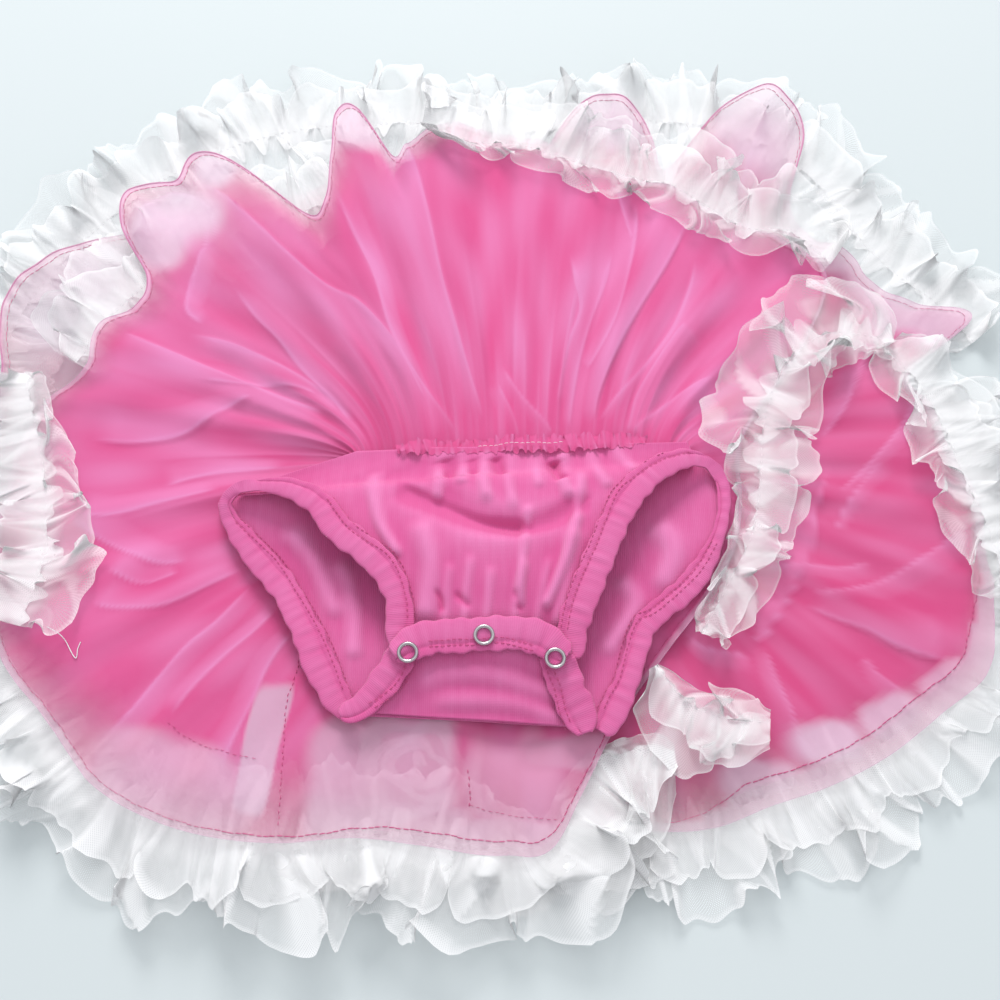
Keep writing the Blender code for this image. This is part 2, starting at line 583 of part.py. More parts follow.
def build():
    """Every piece, from the table upwards."""
    for piece in list(bpy.data.objects):
        bpy.data.objects.remove(piece, do_unlink=True)
    bpy.context.scene.collection.children.link(PARTS)

    make_bodice("bodice_back", 26.0, 0.0)
    make_bodice("bodice_front", 48.0, KNIT + SEAM_GAP)
    make_ruffle("ruffle_outer_back", RUFFLE_OUTER_BACK, 2.0, 12.0)
    make_ruffle("ruffle_outer_front", RUFFLE_OUTER_FRONT, 2.0, 13.0)
    make_skirt("skirt_outer", OUTER_HEM, OUTER_FOLDS, (0.0, 0.25, 0.5, 0.75, 1.0), 3)
    make_rosette()
    make_ruffle("ruffle_inner_back", RUFFLE_INNER_BACK, 2.0, 12.0)
    make_ruffle("ruffle_inner_front_left", RUFFLE_INNER_FRONT_LEFT, 2.0, 11.0)
    make_skirt("skirt_inner", INNER_HEM, INNER_FOLDS,
               (0.0, 0.1, 0.26, 0.44, 0.62, 0.81, 1.0), 3)
    make_ruffle("ruffle_inner_front_right", RUFFLE_INNER_FRONT_RIGHT, 8.0, 12.0)
    make_ruffle("ruffle_inner_left", RUFFLE_INNER_LEFT, 8.0, 12.0)
    make_ruffle("ruffle_outer_side", RUFFLE_OUTER_SIDE, 9.0, 12.0)
    make_panel("brief_back", BRIEF_BACK, KNIT)
    make_panel("brief_front", BRIEF_FRONT, KNIT)
    make_band("leg_band_left", LEG_BAND_LEFT, BINDING)
    make_band("leg_band_right", LEG_BAND_RIGHT, BINDING)
    make_panel("crotch_flap", CROTCH_FLAP, KNIT)
    make_band("flap_band_left", FLAP_BAND_LEFT, BINDING)
    make_band("flap_band_right", FLAP_BAND_RIGHT, BINDING)
    make_band("snap_placket", PLACKET, BINDING)
    make_band("waist_frill", WAIST_FRILL, CHIFFON, spacing=2.6, wave=3.0, waves=FRILL_WAVES,
              kind="chiffon_pink")
    make_ruffle("ruffle_inner_side", RUFFLE_INNER_SIDE, 11.0, 11.0)
    make_ruffle("ruffle_inner_tail", RUFFLE_INNER_TAIL, 8.0, 10.0)
    for name, x, y in SNAPS:
        make_snap(name, x, y)


build()
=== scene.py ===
"""Looks of the baby's tutu bodysuit: chiffon, net, knit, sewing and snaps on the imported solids.

Positions are in millimetres from the middle of the flat waist, as in the solids' source:
x to the wearer's left-hand side of the table, y towards the bodice.  Every cloth is a thin
sheet or shell on its solid's form, with its creases placed from the tables below.
"""

import math

import bpy
import numpy as np
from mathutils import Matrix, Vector
from mathutils.bvhtree import BVHTree


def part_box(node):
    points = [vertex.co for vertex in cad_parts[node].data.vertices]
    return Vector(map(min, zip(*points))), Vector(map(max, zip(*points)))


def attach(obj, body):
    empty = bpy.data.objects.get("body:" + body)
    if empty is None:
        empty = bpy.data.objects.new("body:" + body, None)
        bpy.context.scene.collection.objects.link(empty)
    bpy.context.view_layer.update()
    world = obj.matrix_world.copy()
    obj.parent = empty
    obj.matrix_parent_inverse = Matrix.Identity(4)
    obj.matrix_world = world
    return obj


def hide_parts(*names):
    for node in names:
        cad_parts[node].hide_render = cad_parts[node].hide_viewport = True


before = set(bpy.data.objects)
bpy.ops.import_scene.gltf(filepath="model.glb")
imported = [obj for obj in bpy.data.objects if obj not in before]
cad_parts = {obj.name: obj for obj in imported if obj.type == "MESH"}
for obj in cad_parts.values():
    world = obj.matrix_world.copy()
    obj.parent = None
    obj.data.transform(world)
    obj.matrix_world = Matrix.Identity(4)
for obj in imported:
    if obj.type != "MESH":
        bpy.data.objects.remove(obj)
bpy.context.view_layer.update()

MM = 0.001
# The frame's origin as a plan position, half the width of the flat waist, and the fan reach at
# which the skirts begin.
PART_CENTRE = (-18.2, 3.6)
WAIST_HALF, WAIST_REACH = 80.0, 41.5
# Plain waves of the ruffles' solids, which the cloth's own folds replace: wave length, the share
# by which some are lower, and over what length.
RUFFLE_WAVE, SWELL, SWELL_LENGTH = 20.0, 0.44, 31.0
# Skirt grids: columns all round, rows from waist to hem, seed.
SKIRT_GRID = {"outer": (720, 56, 31), "inner": (1000, 104, 47)}
# The bodice's top where the skirts lie on it: its right and left edges, and its height.
BODICE_EDGES = [[(-80, 0), (-92, 108), (-64, 172)], [(80, 0), (92, 108), (64, 172)]]
BODICE_TOP = 3.1
# Thickness of the knit in its panels and in its folded bands.
PANEL_WALL, BAND_WALL = 1.0, 1.2
# Gaps left above the cloth below, and the lowest that a sheer cloth lies over the table.
SKIRT_GAP, PANEL_GAP, BAND_GAP, FRILL_GAP, OVER_TABLE = 0.35, 0.25, 0.15, 0.2, 0.4
# Grids of the knitted pieces and the frill: points across, rows down a panel, step along a line.
PANEL_COLUMNS, BAND_COLUMNS, FRILL_COLUMNS = 130, 21, 11
PANEL_ROWS = {"brief_back": 130, "brief_front": 130, "crotch_flap": 60}
BAND_STEP, FRILL_STEP = 0.8, 0.35
# Sides of the tube that a rolled hem is, and the step along it.
HEM_SIDES, HEM_STEP = 6, 1.4
# Stitches: pitch and length of the dashes, then radius and how far they stray sideways where
# these are always the same.
STITCHES = {
    "hem": (3.0, 2.75), "seam": (2.8, 2.0), "gathering": (3.4, 2.0, 0.09),
    "waist": (2.6, 2.3, 0.12), "brief": (2.6, 1.9, 0.18, 0.06),
}

# ---- Skirt tables: angle in degrees, reach in mm ---------------------------------------
HEM = {
    "outer": [
        (0, 201), (8, 196), (15, 193), (20, 236), (24, 214), (30, 200), (36, 202), (42, 194),
        (49, 210), (52, 240), (56, 251), (60, 250), (63, 228), (66, 186), (70, 200), (73, 214),
        (77, 219), (81, 212), (85, 187), (92, 182), (104, 186), (118, 187), (130, 196),
        (140, 212), (149, 242), (155, 262), (161, 266), (170, 252), (182, 246), (192, 243),
        (202, 232), (212, 214), (222, 201), (232, 193), (246, 185), (262, 178), (274, 180),
        (284, 187), (294, 197), (302, 200), (309, 207), (317, 215), (325, 222), (332, 231),
        (340, 225), (348, 215), (354, 211),
    ],
    "inner": [
        (0, 88), (8, 92), (18, 112), (27, 150), (35, 182), (44, 180), (54, 170), (64, 173),
        (76, 172), (84, 182), (92, 191), (102, 199), (107, 190), (110, 186), (112, 214),
        (115, 216), (118, 196), (122, 175), (127, 176), (130, 214), (133, 234), (138, 231),
        (143, 243), (147, 232), (151, 204), (156, 198), (161, 210), (168, 208), (173, 224),
        (182, 236), (192, 243), (204, 248), (213, 241), (222, 240), (230, 231), (241, 213),
        (250, 197), (258, 193), (268, 193), (274, 190), (278, 172), (283, 153), (290, 136),
        (298, 124), (312, 112), (326, 104), (342, 94), (352, 89),
    ],
}
# Creases of each skirt: side the raised band is on, band width, height and the width of the
# steep side in mm, then the crease's line from its outer end to the waist.
CREASES = {
    "inner": [
        (-1, 34, 6.0, 2.2, [(-73, 197), (-55, 166), (-46, 133), (-39, 99), (-32, 72), (-24, 43),
         (-15, 14)]),
        (1, 10, 2.0, 2.0, [(-95, 148), (-84, 121), (-72, 96), (-64, 69), (-52, 43), (-43, 26)]),
        (1, 12, 2.5, 2.0, [(-143, 90), (-130, 72), (-118, 60), (-105, 44), (-90, 29), (-80, 17)]),
        (-1, 40, 6.0, 2.4, [(-174, 152), (-154, 143), (-133, 124), (-116, 107), (-98, 92),
         (-81, 83), (-66, 66), (-50, 43), (-35, 21), (-29, 11)]),
        (-1, 20, 4.5, 2.0, [(-195, 63), (-183, 57), (-159, 47), (-135, 38), (-112, 29),
         (-89, 21)]),
        (-1, 12, 3.0, 2.0, [(-163, 62), (-144, 57), (-128, 51), (-112, 44), (-96, 34), (-84, 24)]),
        (1, 12, 2.5, 1.8, [(-158, 38), (-134, 36), (-112, 36), (-96, 31)]),
        (1, 14, 3.0, 3.0, [(-160, 129), (-157, 112), (-163, 88), (-163, 74), (-154, 66)]),
        (-1, 9, 2.5, 2.0, [(-189, 116), (-188, 131), (-180, 140), (-168, 141), (-158, 134),
         (-153, 122), (-151, 108)]),
        (1, 18, 4.0, 3.0, [(-208, 10), (-186, 8), (-162, 12), (-142, 24), (-125, 32)]),
        (-1, 17, 5.0, 1.8, [(91, 137), (77, 107), (60, 78), (49, 57), (39, 33), (36, 16)]),
        (1, 12, 3.0, 1.8, [(90, 107), (86, 90), (76, 67), (59, 44), (46, 29), (37, 17)]),
        (-1, 12, 3.5, 1.8, [(61, 142), (60, 121), (55, 96), (48, 72), (38, 53), (33, 46)]),
        (-1, 10, 2.5, 1.8, [(49, 114), (43, 92), (36, 72), (30, 51), (26, 29), (24, 13)]),
        (1, 16, 3.5, 1.8, [(26, 110), (29, 92), (31, 78), (25, 60), (21, 41), (18, 23)]),
        (1, 8, 2.0, 1.5, [(51, 147), (53, 138), (56, 125), (58, 116)]),
        (1, 14, 3.5, 1.8, [(85, 72), (79, 66), (68, 50), (58, 33), (54, 19), (52, 13)]),
        (1, 14, 3.0, 1.8, [(99, 43), (83, 36), (71, 27), (58, 17), (55, 13)]),
        (-1, 9, 2.0, 1.6, [(-9, 50), (0, 34), (11, 21), (17, 11)]),
        (-1, 8, 2.0, 1.6, [(-11, 41), (-3, 23), (0, 11)]),
        (1, 18, 3.5, 2.0, [(-213, -29), (-203, -37), (-191, -44), (-178, -50), (-166, -54),
         (-153, -52)]),
        (1, 16, 3.5, 2.0, [(-195, -73), (-186, -76), (-168, -76), (-156, -72), (-143, -64),
         (-128, -55)]),
        (-1, 14, 3.5, 2.0, [(-184, -137), (-171, -123), (-161, -109), (-150, -94), (-137, -81),
         (-122, -61)]),
        (1, 10, 3.0, 1.8, [(-154, -128), (-146, -114), (-133, -98), (-121, -86), (-112, -75)]),
        (1, 12, 4.0, 1.6, [(-129, -151), (-125, -137), (-119, -120), (-114, -104), (-109, -94),
         (-104, -87)]),
        (1, 12, 2.5, 2.5, [(-190, -57), (-173, -64), (-157, -58)]),
        (1, 12, 3.0, 2.5, [(-169, -15), (-155, -10), (-140, -7), (-110, -4)]),
        (1, 14, 2.5, 2.5, [(-210, -30), (-191, -30), (-169, -24), (-140, -16)]),
    ],
    "outer": [
        (-1, 26, 6.0, 2.0, [(151, 0), (141, -24), (136, -47), (126, -66), (116, -81), (111, -88),
         (105, -88)]),
        (1, 9, 2.5, 1.8, [(176, 1), (164, -12), (154, -26), (149, -37)]),
        (1, 14, 3.0, 2.0, [(130, -144), (124, -134), (121, -123), (116, -109), (112, -91)]),
        (-1, 24, 5.0, 2.0, [(195, -98), (184, -97), (169, -91), (157, -84), (145, -79),
         (131, -72)]),
        (1, 14, 4.0, 2.0, [(211, -35), (198, -44), (171, -60), (152, -66), (134, -67)]),
        (1, 9, 2.5, 1.8, [(173, -114), (162, -106), (156, -97)]),
        (1, 9, 2.5, 2.0, [(165, -52), (150, -55), (132, -54), (111, -55)]),
        (1, 10, 2.5, 2.0, [(105, -96), (97, -96), (84, -93), (77, -87)]),
        (-1, 14, 4.0, 2.0, [(189, 76), (173, 54), (159, 27), (146, 10)]),
        (1, 10, 3.0, 2.0, [(197, 44), (189, 22), (173, 2), (150, -20)]),
        (1, 26, 5.0, 4.0, [(132, 196), (122, 170), (112, 140)]),
        (1, 22, 4.0, 4.0, [(52, 210), (50, 190), (46, 170)]),
        (1, 24, 4.0, 4.0, [(-230, 96), (-205, 80), (-175, 62)]),
    ],
}

# How closely the cloth covers what is under it: fan angle, share covered by the main part,
# share covered at the hem, and width in mm over which it changes.
COVER = {
    "inner": [
        (0, 0.93, 0.75, 12), (30, 0.94, 0.78, 10), (60, 0.94, 0.74, 10), (98, 0.94, 0.66, 12),
        (108, 0.90, 0.45, 24), (114, 0.84, 0.34, 40), (121, 0.94, 0.62, 16), (130, 0.84, 0.34, 50),
        (142, 0.74, 0.26, 60), (152, 0.90, 0.55, 24), (180, 0.94, 0.62, 14), (200, 0.93, 0.60, 20),
        (215, 0.90, 0.46, 40), (240, 0.84, 0.40, 55), (262, 0.78, 0.38, 60), (276, 0.84, 0.50, 40),
        (286, 0.93, 0.75, 16), (340, 0.94, 0.75, 12),
    ],
    "outer": [
        (0, 0.95, 0.72, 14), (15, 0.95, 0.70, 16), (25, 0.90, 0.44, 32), (40, 0.92, 0.46, 24),
        (50, 0.55, 0.24, 46), (60, 0.48, 0.20, 60), (68, 0.80, 0.36, 24), (78, 0.46, 0.20, 50),
        (90, 0.85, 0.45, 16), (120, 0.80, 0.36, 24), (140, 0.50, 0.24, 60), (160, 0.42, 0.18, 80),
        (175, 0.42, 0.20, 70), (190, 0.70, 0.30, 50), (240, 0.80, 0.30, 60), (280, 0.84, 0.34, 50),
        (300, 0.92, 0.40, 44), (316, 0.94, 0.44, 40), (330, 0.95, 0.52, 26), (345, 0.95, 0.70, 14),
    ],
}
# From a skirt's hem to the row of stitches that holds its ruffle: fan angle and mm.
HEM_ALLOWANCE = {
    "outer": [(0, 4), (290, 4), (300, 12), (335, 13), (345, 5), (359, 4)],
    "inner": [(0, 3.2), (236, 3.2), (246, 2.5), (254, 5.5), (274, 5.5), (282, 3.2), (359, 3.2)],
}

# ---- Ruffle tables ---------------------------------------------------------------------
# Seed, heights of the inner and outer edges' folds in mm, then points of the stitch line: x,
# y and the widths to the inner and outer edges.
RUFFLES = {
    "ruffle_outer_back": (100, 2.0, 12.0, [
        (-255, -14, 30, 36), (-243, -48, 30, 38), (-226, -78, 30, 38), (-194, -106, 30, 38),
        (-152, -128, 28, 38), (-100, -150, 28, 38), (-60, -160, 28, 38), (-18, -164, 28, 38),
        (26, -168, 28, 38), (66, -170, 28, 38), (106, -160, 28, 38), (146, -145, 28, 38),
        (182, -120, 26, 38), (206, -92, 24, 38), (213, -60, 24, 38), (212, -28, 26, 38),
        (206, 4, 28, 38), (200, 38, 28, 38)]),
    "ruffle_outer_front": (110, 2.0, 13.0, [
        (228, 64, 24, 34), (214, 84, 24, 34), (192, 104, 24, 34), (174, 128, 24, 34),
        (160, 154, 24, 34), (140, 176, 24, 34), (112, 190, 26, 34), (80, 196, 28, 34),
        (44, 194, 28, 34), (8, 190, 28, 34), (-30, 190, 28, 34), (-70, 194, 28, 34),
        (-108, 192, 28, 34), (-146, 182, 28, 34), (-180, 164, 28, 34), (-208, 140, 28, 34),
        (-232, 112, 28, 34), (-250, 82, 28, 34), (-258, 50, 28, 34), (-258, 18, 28, 34)]),
    "ruffle_inner_back": (140, 2.0, 12.0, [
        (-236, -88, 26, 36), (-214, -120, 28, 38), (-184, -154, 30, 38), (-160, -168, 30, 38),
        (-130, -176, 30, 40), (-98, -178, 30, 40), (-66, -176, 30, 40), (-34, -180, 28, 40),
        (-6, -183, 24, 40), (12, -178, 10, 42), (22, -162, 7, 44), (32, -148, 7, 46),
        (48, -140, 7, 46), (68, -140, 8, 42)]),
    "ruffle_inner_front_left": (150, 2.0, 11.0, [
        (-72, 160, 18, 34), (-92, 146, 20, 34), (-114, 136, 24, 34), (-138, 128, 24, 34),
        (-162, 114, 24, 34), (-184, 94, 24, 34), (-202, 72, 24, 34), (-216, 48, 24, 34)]),
    "ruffle_inner_front_right": (180, 8.0, 12.0, [
        (158, 104, 14, 30), (138, 122, 14, 30), (116, 122, 16, 32), (98, 132, 16, 32),
        (76, 146, 16, 32), (44, 154, 14, 32), (20, 164, 12, 32), (-4, 174, 10, 30),
        (-28, 176, 8, 28), (-50, 184, 8, 26)]),
    "ruffle_inner_left": (190, 8.0, 12.0, [
        (-242, 44, 8, 30), (-232, 16, 12, 34), (-226, -8, 16, 34), (-220, -34, 22, 34),
        (-218, -60, 25, 34), (-224, -86, 22, 34)]),
    "ruffle_inner_side": (220, 11.0, 11.0, [
        (82, -88, 6, 14), (97, -62, 9, 19), (109, -38, 11, 21), (114, -12, 16, 24),
        (118, 16, 27, 24), (129, 44, 30, 24), (148, 62, 30, 18), (168, 66, 30, 14),
        (186, 62, 28, 12)]),
    "ruffle_inner_tail": (230, 8.0, 10.0, [
        (60, -104, 6, 16), (72, -118, 10, 26), (90, -126, 14, 30), (110, -128, 14, 30)]),
    "ruffle_outer_side": (200, 9.0, 12.0, [
        (222, -70, 16, 26), (218, -40, 18, 28), (210, -12, 20, 30), (204, 14, 20, 30),
        (196, 36, 18, 30), (180, 58, 16, 28)]),
}
# The two layers of every ruffle: seed step, spacing of folds in mm, share of the inner and
# outer widths, rows of points on each, cover, gap above the pile, how far folds are drawn in
# and step along the line in mm.
LAYERS = {
    "net": (0, 40.0, (1.0, 1.0), (11, 16), 0.26, 0.35, 0.26, 0.7),
    "net_upper": (500, 29.0, (0.45, 0.70), (5, 12), 0.32, 0.3, 0.46, 0.75),
}
# Share of its cover that a ruffle has, where it shows more of what is under it.
SPARSE = {"ruffle_inner_front_right": 0.66, "ruffle_inner_side": 0.70, "ruffle_inner_left": 0.82,
          "ruffle_inner_front_left": 0.80, "ruffle_outer_front": 0.78,
          "ruffle_outer_side": 0.76, "ruffle_inner_tail": 0.84}
# Patches where the sheer skirts lie over white net or the table, and look paler: middle and
# half sizes in mm, turn in degrees, the share covered there, how pale the cloth looks and
# how softly the patch ends.
PALE = {
    "inner": [
        (-174, 122, 17, 25, -38, 0.52, 0.80, 0.62), (-155, 163, 11, 18, -20, 0.38, 0.80, 0.62),
        (-198, 92, 10, 16, -20, 0.60, 0.40, 0.62), (-84, 190, 16, 20, 0, 0.42, 0.75, 0.62),
        (-150, -153, 38, 17, -14, 0.70, 0.48, 0.44), (-113, -140, 8, 29, -9, 0.58, 0.80, 0.26),
        (-60, -150, 33, 26, 6, 0.58, 0.62, 0.36), (-50, -172, 34, 9, 0, 0.66, 0.50, 0.50),
        (-8, -176, 30, 8, 0, 0.66, 0.55, 0.62), (30, -140, 34, 8, 8, 0.66, 0.50, 0.62),
        (-2, -156, 24, 22, 0, 0.80, 0.42, 0.62),
    ],
    "outer": [
        (51, 203, 30, 26, 0, 0.45, 0.75, 0.62), (134, 196, 34, 40, 0, 0.50, 0.70, 0.62),
        (164, 118, 24, 18, -30, 0.60, 0.60, 0.62), (216, 78, 40, 22, -20, 0.55, 0.65, 0.62),
        (190, 92, 26, 16, -30, 0.65, 0.50, 0.62), (137, -136, 17, 10, 12, 0.60, 0.80, 0.62),
        (166, -124, 15, 9, 24, 0.64, 0.70, 0.62), (106, -152, 20, 9, 0, 0.66, 0.65, 0.62),
        (192, -108, 14, 7, 32, 0.70, 0.55, 0.62), (-228, 92, 30, 36, 0, 0.35, 0.70, 0.62),
    ],
}
# Rows of stitches that show on the skirts beside their hems.
SKIRT_SEAMS = [
    (0.20, [(-103, -173), (-103, -159), (-103, -139), (-103, -120), (-100, -106), (-99, -97)]),
    (0.26, [(-23, -149), (-22, -157), (-22, -166)]),
    (0.13, [(-154, -129), (-142, -137), (-127, -142), (-113, -145)]),
    (0.13, [(-22, -164), (-5, -168), (17, -170)]),
]
# How much the hem and its stitches show round a skirt: fan angle, hem radius and stitch
# radius in mm.
HEM_SHOWS = {
    "outer": [(0, 0.22, 0.12), (46, 0.25, 0.12), (52, 0.40, 0.18), (62, 0.40, 0.18),
              (68, 0.25, 0.12), (76, 0.42, 0.18), (84, 0.40, 0.18), (92, 0.22, 0.12),
              (146, 0.22, 0.12), (156, 0.45, 0.20), (168, 0.40, 0.14), (180, 0.22, 0.12),
              (292, 0.18, 0.12), (300, 0.15, 0.26), (336, 0.15, 0.26), (344, 0.22, 0.12)],
    "inner": [(0, 0.22, 0.12), (108, 0.25, 0.12), (112, 0.42, 0.18), (119, 0.30, 0.12),
              (127, 0.35, 0.14), (131, 0.42, 0.18), (146, 0.42, 0.18), (153, 0.35, 0.14),
              (164, 0.18, 0.12), (232, 0.18, 0.14), (240, 0.16, 0.26), (282, 0.16, 0.24),
              (294, 0.25, 0.14)],
}
# A stray end of white thread on the left ruffle.
LOOSE_THREAD = [(-209, -88), (-204, -91), (-198, -100), (-197, -96), (-196, -93)]

# ---- Brief tables ----------------------------------------------------------------------
# Knitted panels: cross lines from end to end, each x, y of its left end and of its right.
PANELS = {
    "brief_back": [
        (-76, -4, 80, 2), (-137, -21, 88, -4), (-136, -33, 96, -20), (-125, -49, 92, -42),
        (-112, -65, 78, -66), (-102, -83, 58, -85), (-94, -99, 52, -104), (-86, -115, 45, -121),
        (-70, -126, 36, -131),
    ],
    "brief_front": [
        (-77, 1, 81, 6.5), (-132, -20, 82, -3), (-104, -23, 66, -11), (-87, -37, 52, -24),
        (-71, -52, 41, -44), (-58, -66, 32, -66), (-54, -82, 26, -83), (-53, -98, 22, -99),
    ],
    "crotch_flap": [
        (-73, -125, 30, -131), (-65, -118, 27, -122), (-58, -108, 23, -112), (-54, -100, 19, -104),
        (-46, -94, 14, -97), (-39, -89, 8, -90),
    ],
}
# Knitted bands: seed, which side of the line is the rolled free edge at the start and at the
# end (1 is the right), then the line: x, y and half the width.
BANDS = {
    "leg_band_left": (201, -1, 1, [
        (-52, -98, 5.5), (-53, -92, 6), (-53, -85, 6), (-54, -76, 5.6), (-60, -63, 6.4),
        (-72, -51, 6.4), (-83, -42, 6.5), (-91, -31, 6), (-105, -22, 5), (-121, -19, 3),
        (-132, -20, 2.8), (-137, -26, 2.8), (-135, -33, 3.6), (-130, -40, 5), (-123, -49, 6),
        (-116, -57, 6.4), (-106, -69, 6.2), (-100, -80, 6.2), (-94, -91, 6.7), (-90, -101, 7.2),
        (-85, -110, 7), (-80, -119, 6), (-74, -126, 5)]),
    "leg_band_right": (202, 1, -1, [
        (22, -102, 6.2), (22, -95, 6.6), (23, -88, 6.7), (27, -77, 6.9), (33, -62, 6.9),
        (38, -50, 6.7), (45, -35, 6.5), (54, -21, 6.6), (62, -13, 6), (72, -7, 5.4), (82, -4, 4),
        (90, -6, 3), (95, -13, 3), (96, -23, 2.8), (94, -35, 2.6), (90, -46, 3.4), (84, -57, 5),
        (75, -68, 5.5), (64, -77, 5.3), (56, -85, 5.4), (52, -96, 5), (48, -108, 5.2),
        (43, -119, 6), (39, -127, 6), (35, -133, 5)]),
    "flap_band_left": (203, -1, -1, [
        (-78, -127, 3.6), (-70, -124, 5.2), (-62, -116, 6.2), (-56, -108, 6.8), (-51, -99, 6.9)]),
    "flap_band_right": (204, 1, 1, [
        (28, -134, 6), (25, -125, 7.6), (21, -117, 7.8), (17, -106, 7.6), (12, -99, 7)]),
    "snap_placket": (205, -1, -1, [
        (-55, -102, 6.2), (-48, -97, 7.2), (-40, -94, 7.5), (-27, -93, 7.5), (-13, -92, 7.5),
        (0, -92, 7.5), (11, -95, 7.5), (19, -103, 7)]),
}
# Middle line of the frill: x, y and half the width.
WAIST_FRILL = [(-58, 1, 4), (-36, 3, 4), (-10, 4, 4), (16, 4, 4), (40, 6, 4), (62, 8, 4)]
# Creases of the knitted pieces, in the same columns as the skirts'.
KNIT_CREASES = {
    "brief_front": [
        (1, 6, 2.2, 3.0, [(-66.7, -9.5), (-68.6, -19.4), (-64.3, -38.8), (-56.2, -53.1)]),
        (1, 13, -2.2, 6.0, [(-46, -18), (-30, -30), (-10, -40), (10, -40), (28, -30)]),
        (1, 4, 3.0, 3.0, [(-38, -30), (-37, -14), (-36, -2)]),
        (1, 4, 2.4, 3.0, [(-27, -20), (-26, -10), (-27, -1)]),
        (1, 4, 3.2, 3.0, [(-14, -30), (-17, -14), (-16, -1)]),
        (1, 4, 2.0, 3.0, [(-2, -34), (-5, -16), (-4, -1)]),
        (1, 4, 1.8, 3.0, [(10, -22), (8, -10), (8, 0)]),
        (1, 4, 3.4, 3.0, [(24, -28), (20, -13), (21, -1)]),
        (-1, 5, 2.0, 3.0, [(42, -22), (36, -10), (34, 0)]),
        (-1, 5, 2.0, 3.0, [(56, -12), (49, -4), (46, 2)]),
        (-1, 3, -6.0, 2.0, [(-33, -16), (-33, -10), (-35, -5)]),
        (-1, 3, -6.5, 2.0, [(-8, -14), (-9, -9), (-11, -4)]),
        (-1, 4, -8.0, 2.5, [(20, -17), (18, -12), (17, -6)]),
        (-1, 3, -4.0, 2.0, [(-21, -14), (-21, -9), (-22, -5)]),
        (-1, 3, -1.7, 2.0, [(-35, -82), (-35, -77), (-37, -73)]),
        (-1, 3, -1.7, 2.0, [(-23, -80), (-25, -77), (-28, -74)]),
        (-1, 3, -1.7, 2.0, [(-1, -81), (-1, -77), (-2, -73)]),
        (-1, 12, -3.0, 5.0, [(-58, -18), (-48, -24), (-35, -31), (-18, -39), (0, -41)]),
        (1, 4, 1.9, 3.0, [(4, -29), (3, -39), (1, -56), (0, -77)]),
        (1, 5, 2.6, 3.0, [(28, -8), (27, -27), (22, -51), (12, -77)]),
        (1, 4, 1.1, 3.0, [(-31, -58), (-33, -72), (-33, -86)]),
        (1, 4, 1.2, 3.0, [(-22, -54), (-24, -70), (-25, -86)]),
        (1, 4, 1.0, 3.0, [(-13, -60), (-14, -72), (-15, -85)]),
        (1, 4, 1.2, 3.0, [(3, -56), (-1, -70), (-3, -85)]),
        (1, 4, 1.0, 3.0, [(14, -54), (10, -70), (7, -87)]),
        (-1, 10, 2.0, 8.0, [(-46, -36), (-40, -58), (-42, -80)]),
        (-1, 9, 1.8, 7.0, [(26, -40), (22, -60), (18, -84)]),
    ],
    "brief_back": [
        (1, 10, 2.0, 7.0, [(-110, -36), (-96, -52), (-84, -76)]),
        (-1, 9, 1.8, 6.0, [(-84, -50), (-76, -72), (-74, -96)]),
        (1, 12, 2.2, 7.0, [(62, -34), (70, -48), (66, -62)]),
        (1, 8, 1.8, 6.0, [(44, -60), (52, -74), (40, -94)]),
    ],
    "crotch_flap": [
        (1, 10, 1.4, 7.0, [(-50, -112), (-20, -109), (12, -116)]),
        (1, 8, 1.2, 6.0, [(-44, -120), (-6, -121), (14, -126)]),
    ],
}
# Twin rows of stitches on the brief: the spacing between the two in mm, then their line.
STITCH_ROWS = [
    (3.0, [(-87, -27), (-77, -41), (-68, -48), (-59, -54), (-53, -63), (-49, -76), (-48, -87)]),
    (3.0, [(80, 0), (69, -4), (60, -9), (51, -16), (44, -23), (38, -37), (33, -50), (27, -63),
           (22, -76), (19, -90)]),
    (2.6, [(-131, -34), (-120, -44), (-110, -54), (-100, -69), (-90, -85), (-83, -99),
           (-76, -116)]),
    (2.6, [(90, -45), (82, -58), (71, -69), (60, -78), (52, -82), (47, -94), (43, -108),
           (38, -117), (34, -125)]),
    (2.8, [(-49, -107), (-52, -113), (-58, -119), (-66, -124)]),
    (2.8, [(12, -105), (16, -115), (18, -124), (21, -132)]),
    (2.4, [(-40, -97), (-28, -96), (-19, -96), (-9, -95), (0, -97), (8, -99)]),
]
SNAPS = ("snap_1", "snap_2", "snap_3")
# Section of a snap's ring: distance from its middle and height, in mm.
SNAP_SECTION = [(3.0, -0.9), (2.95, -0.1), (3.15, 0.35), (3.6, 0.75), (4.1, 0.9), (4.5, 0.65),
                (4.75, 0.15), (4.78, -0.4), (4.6, -0.9)]

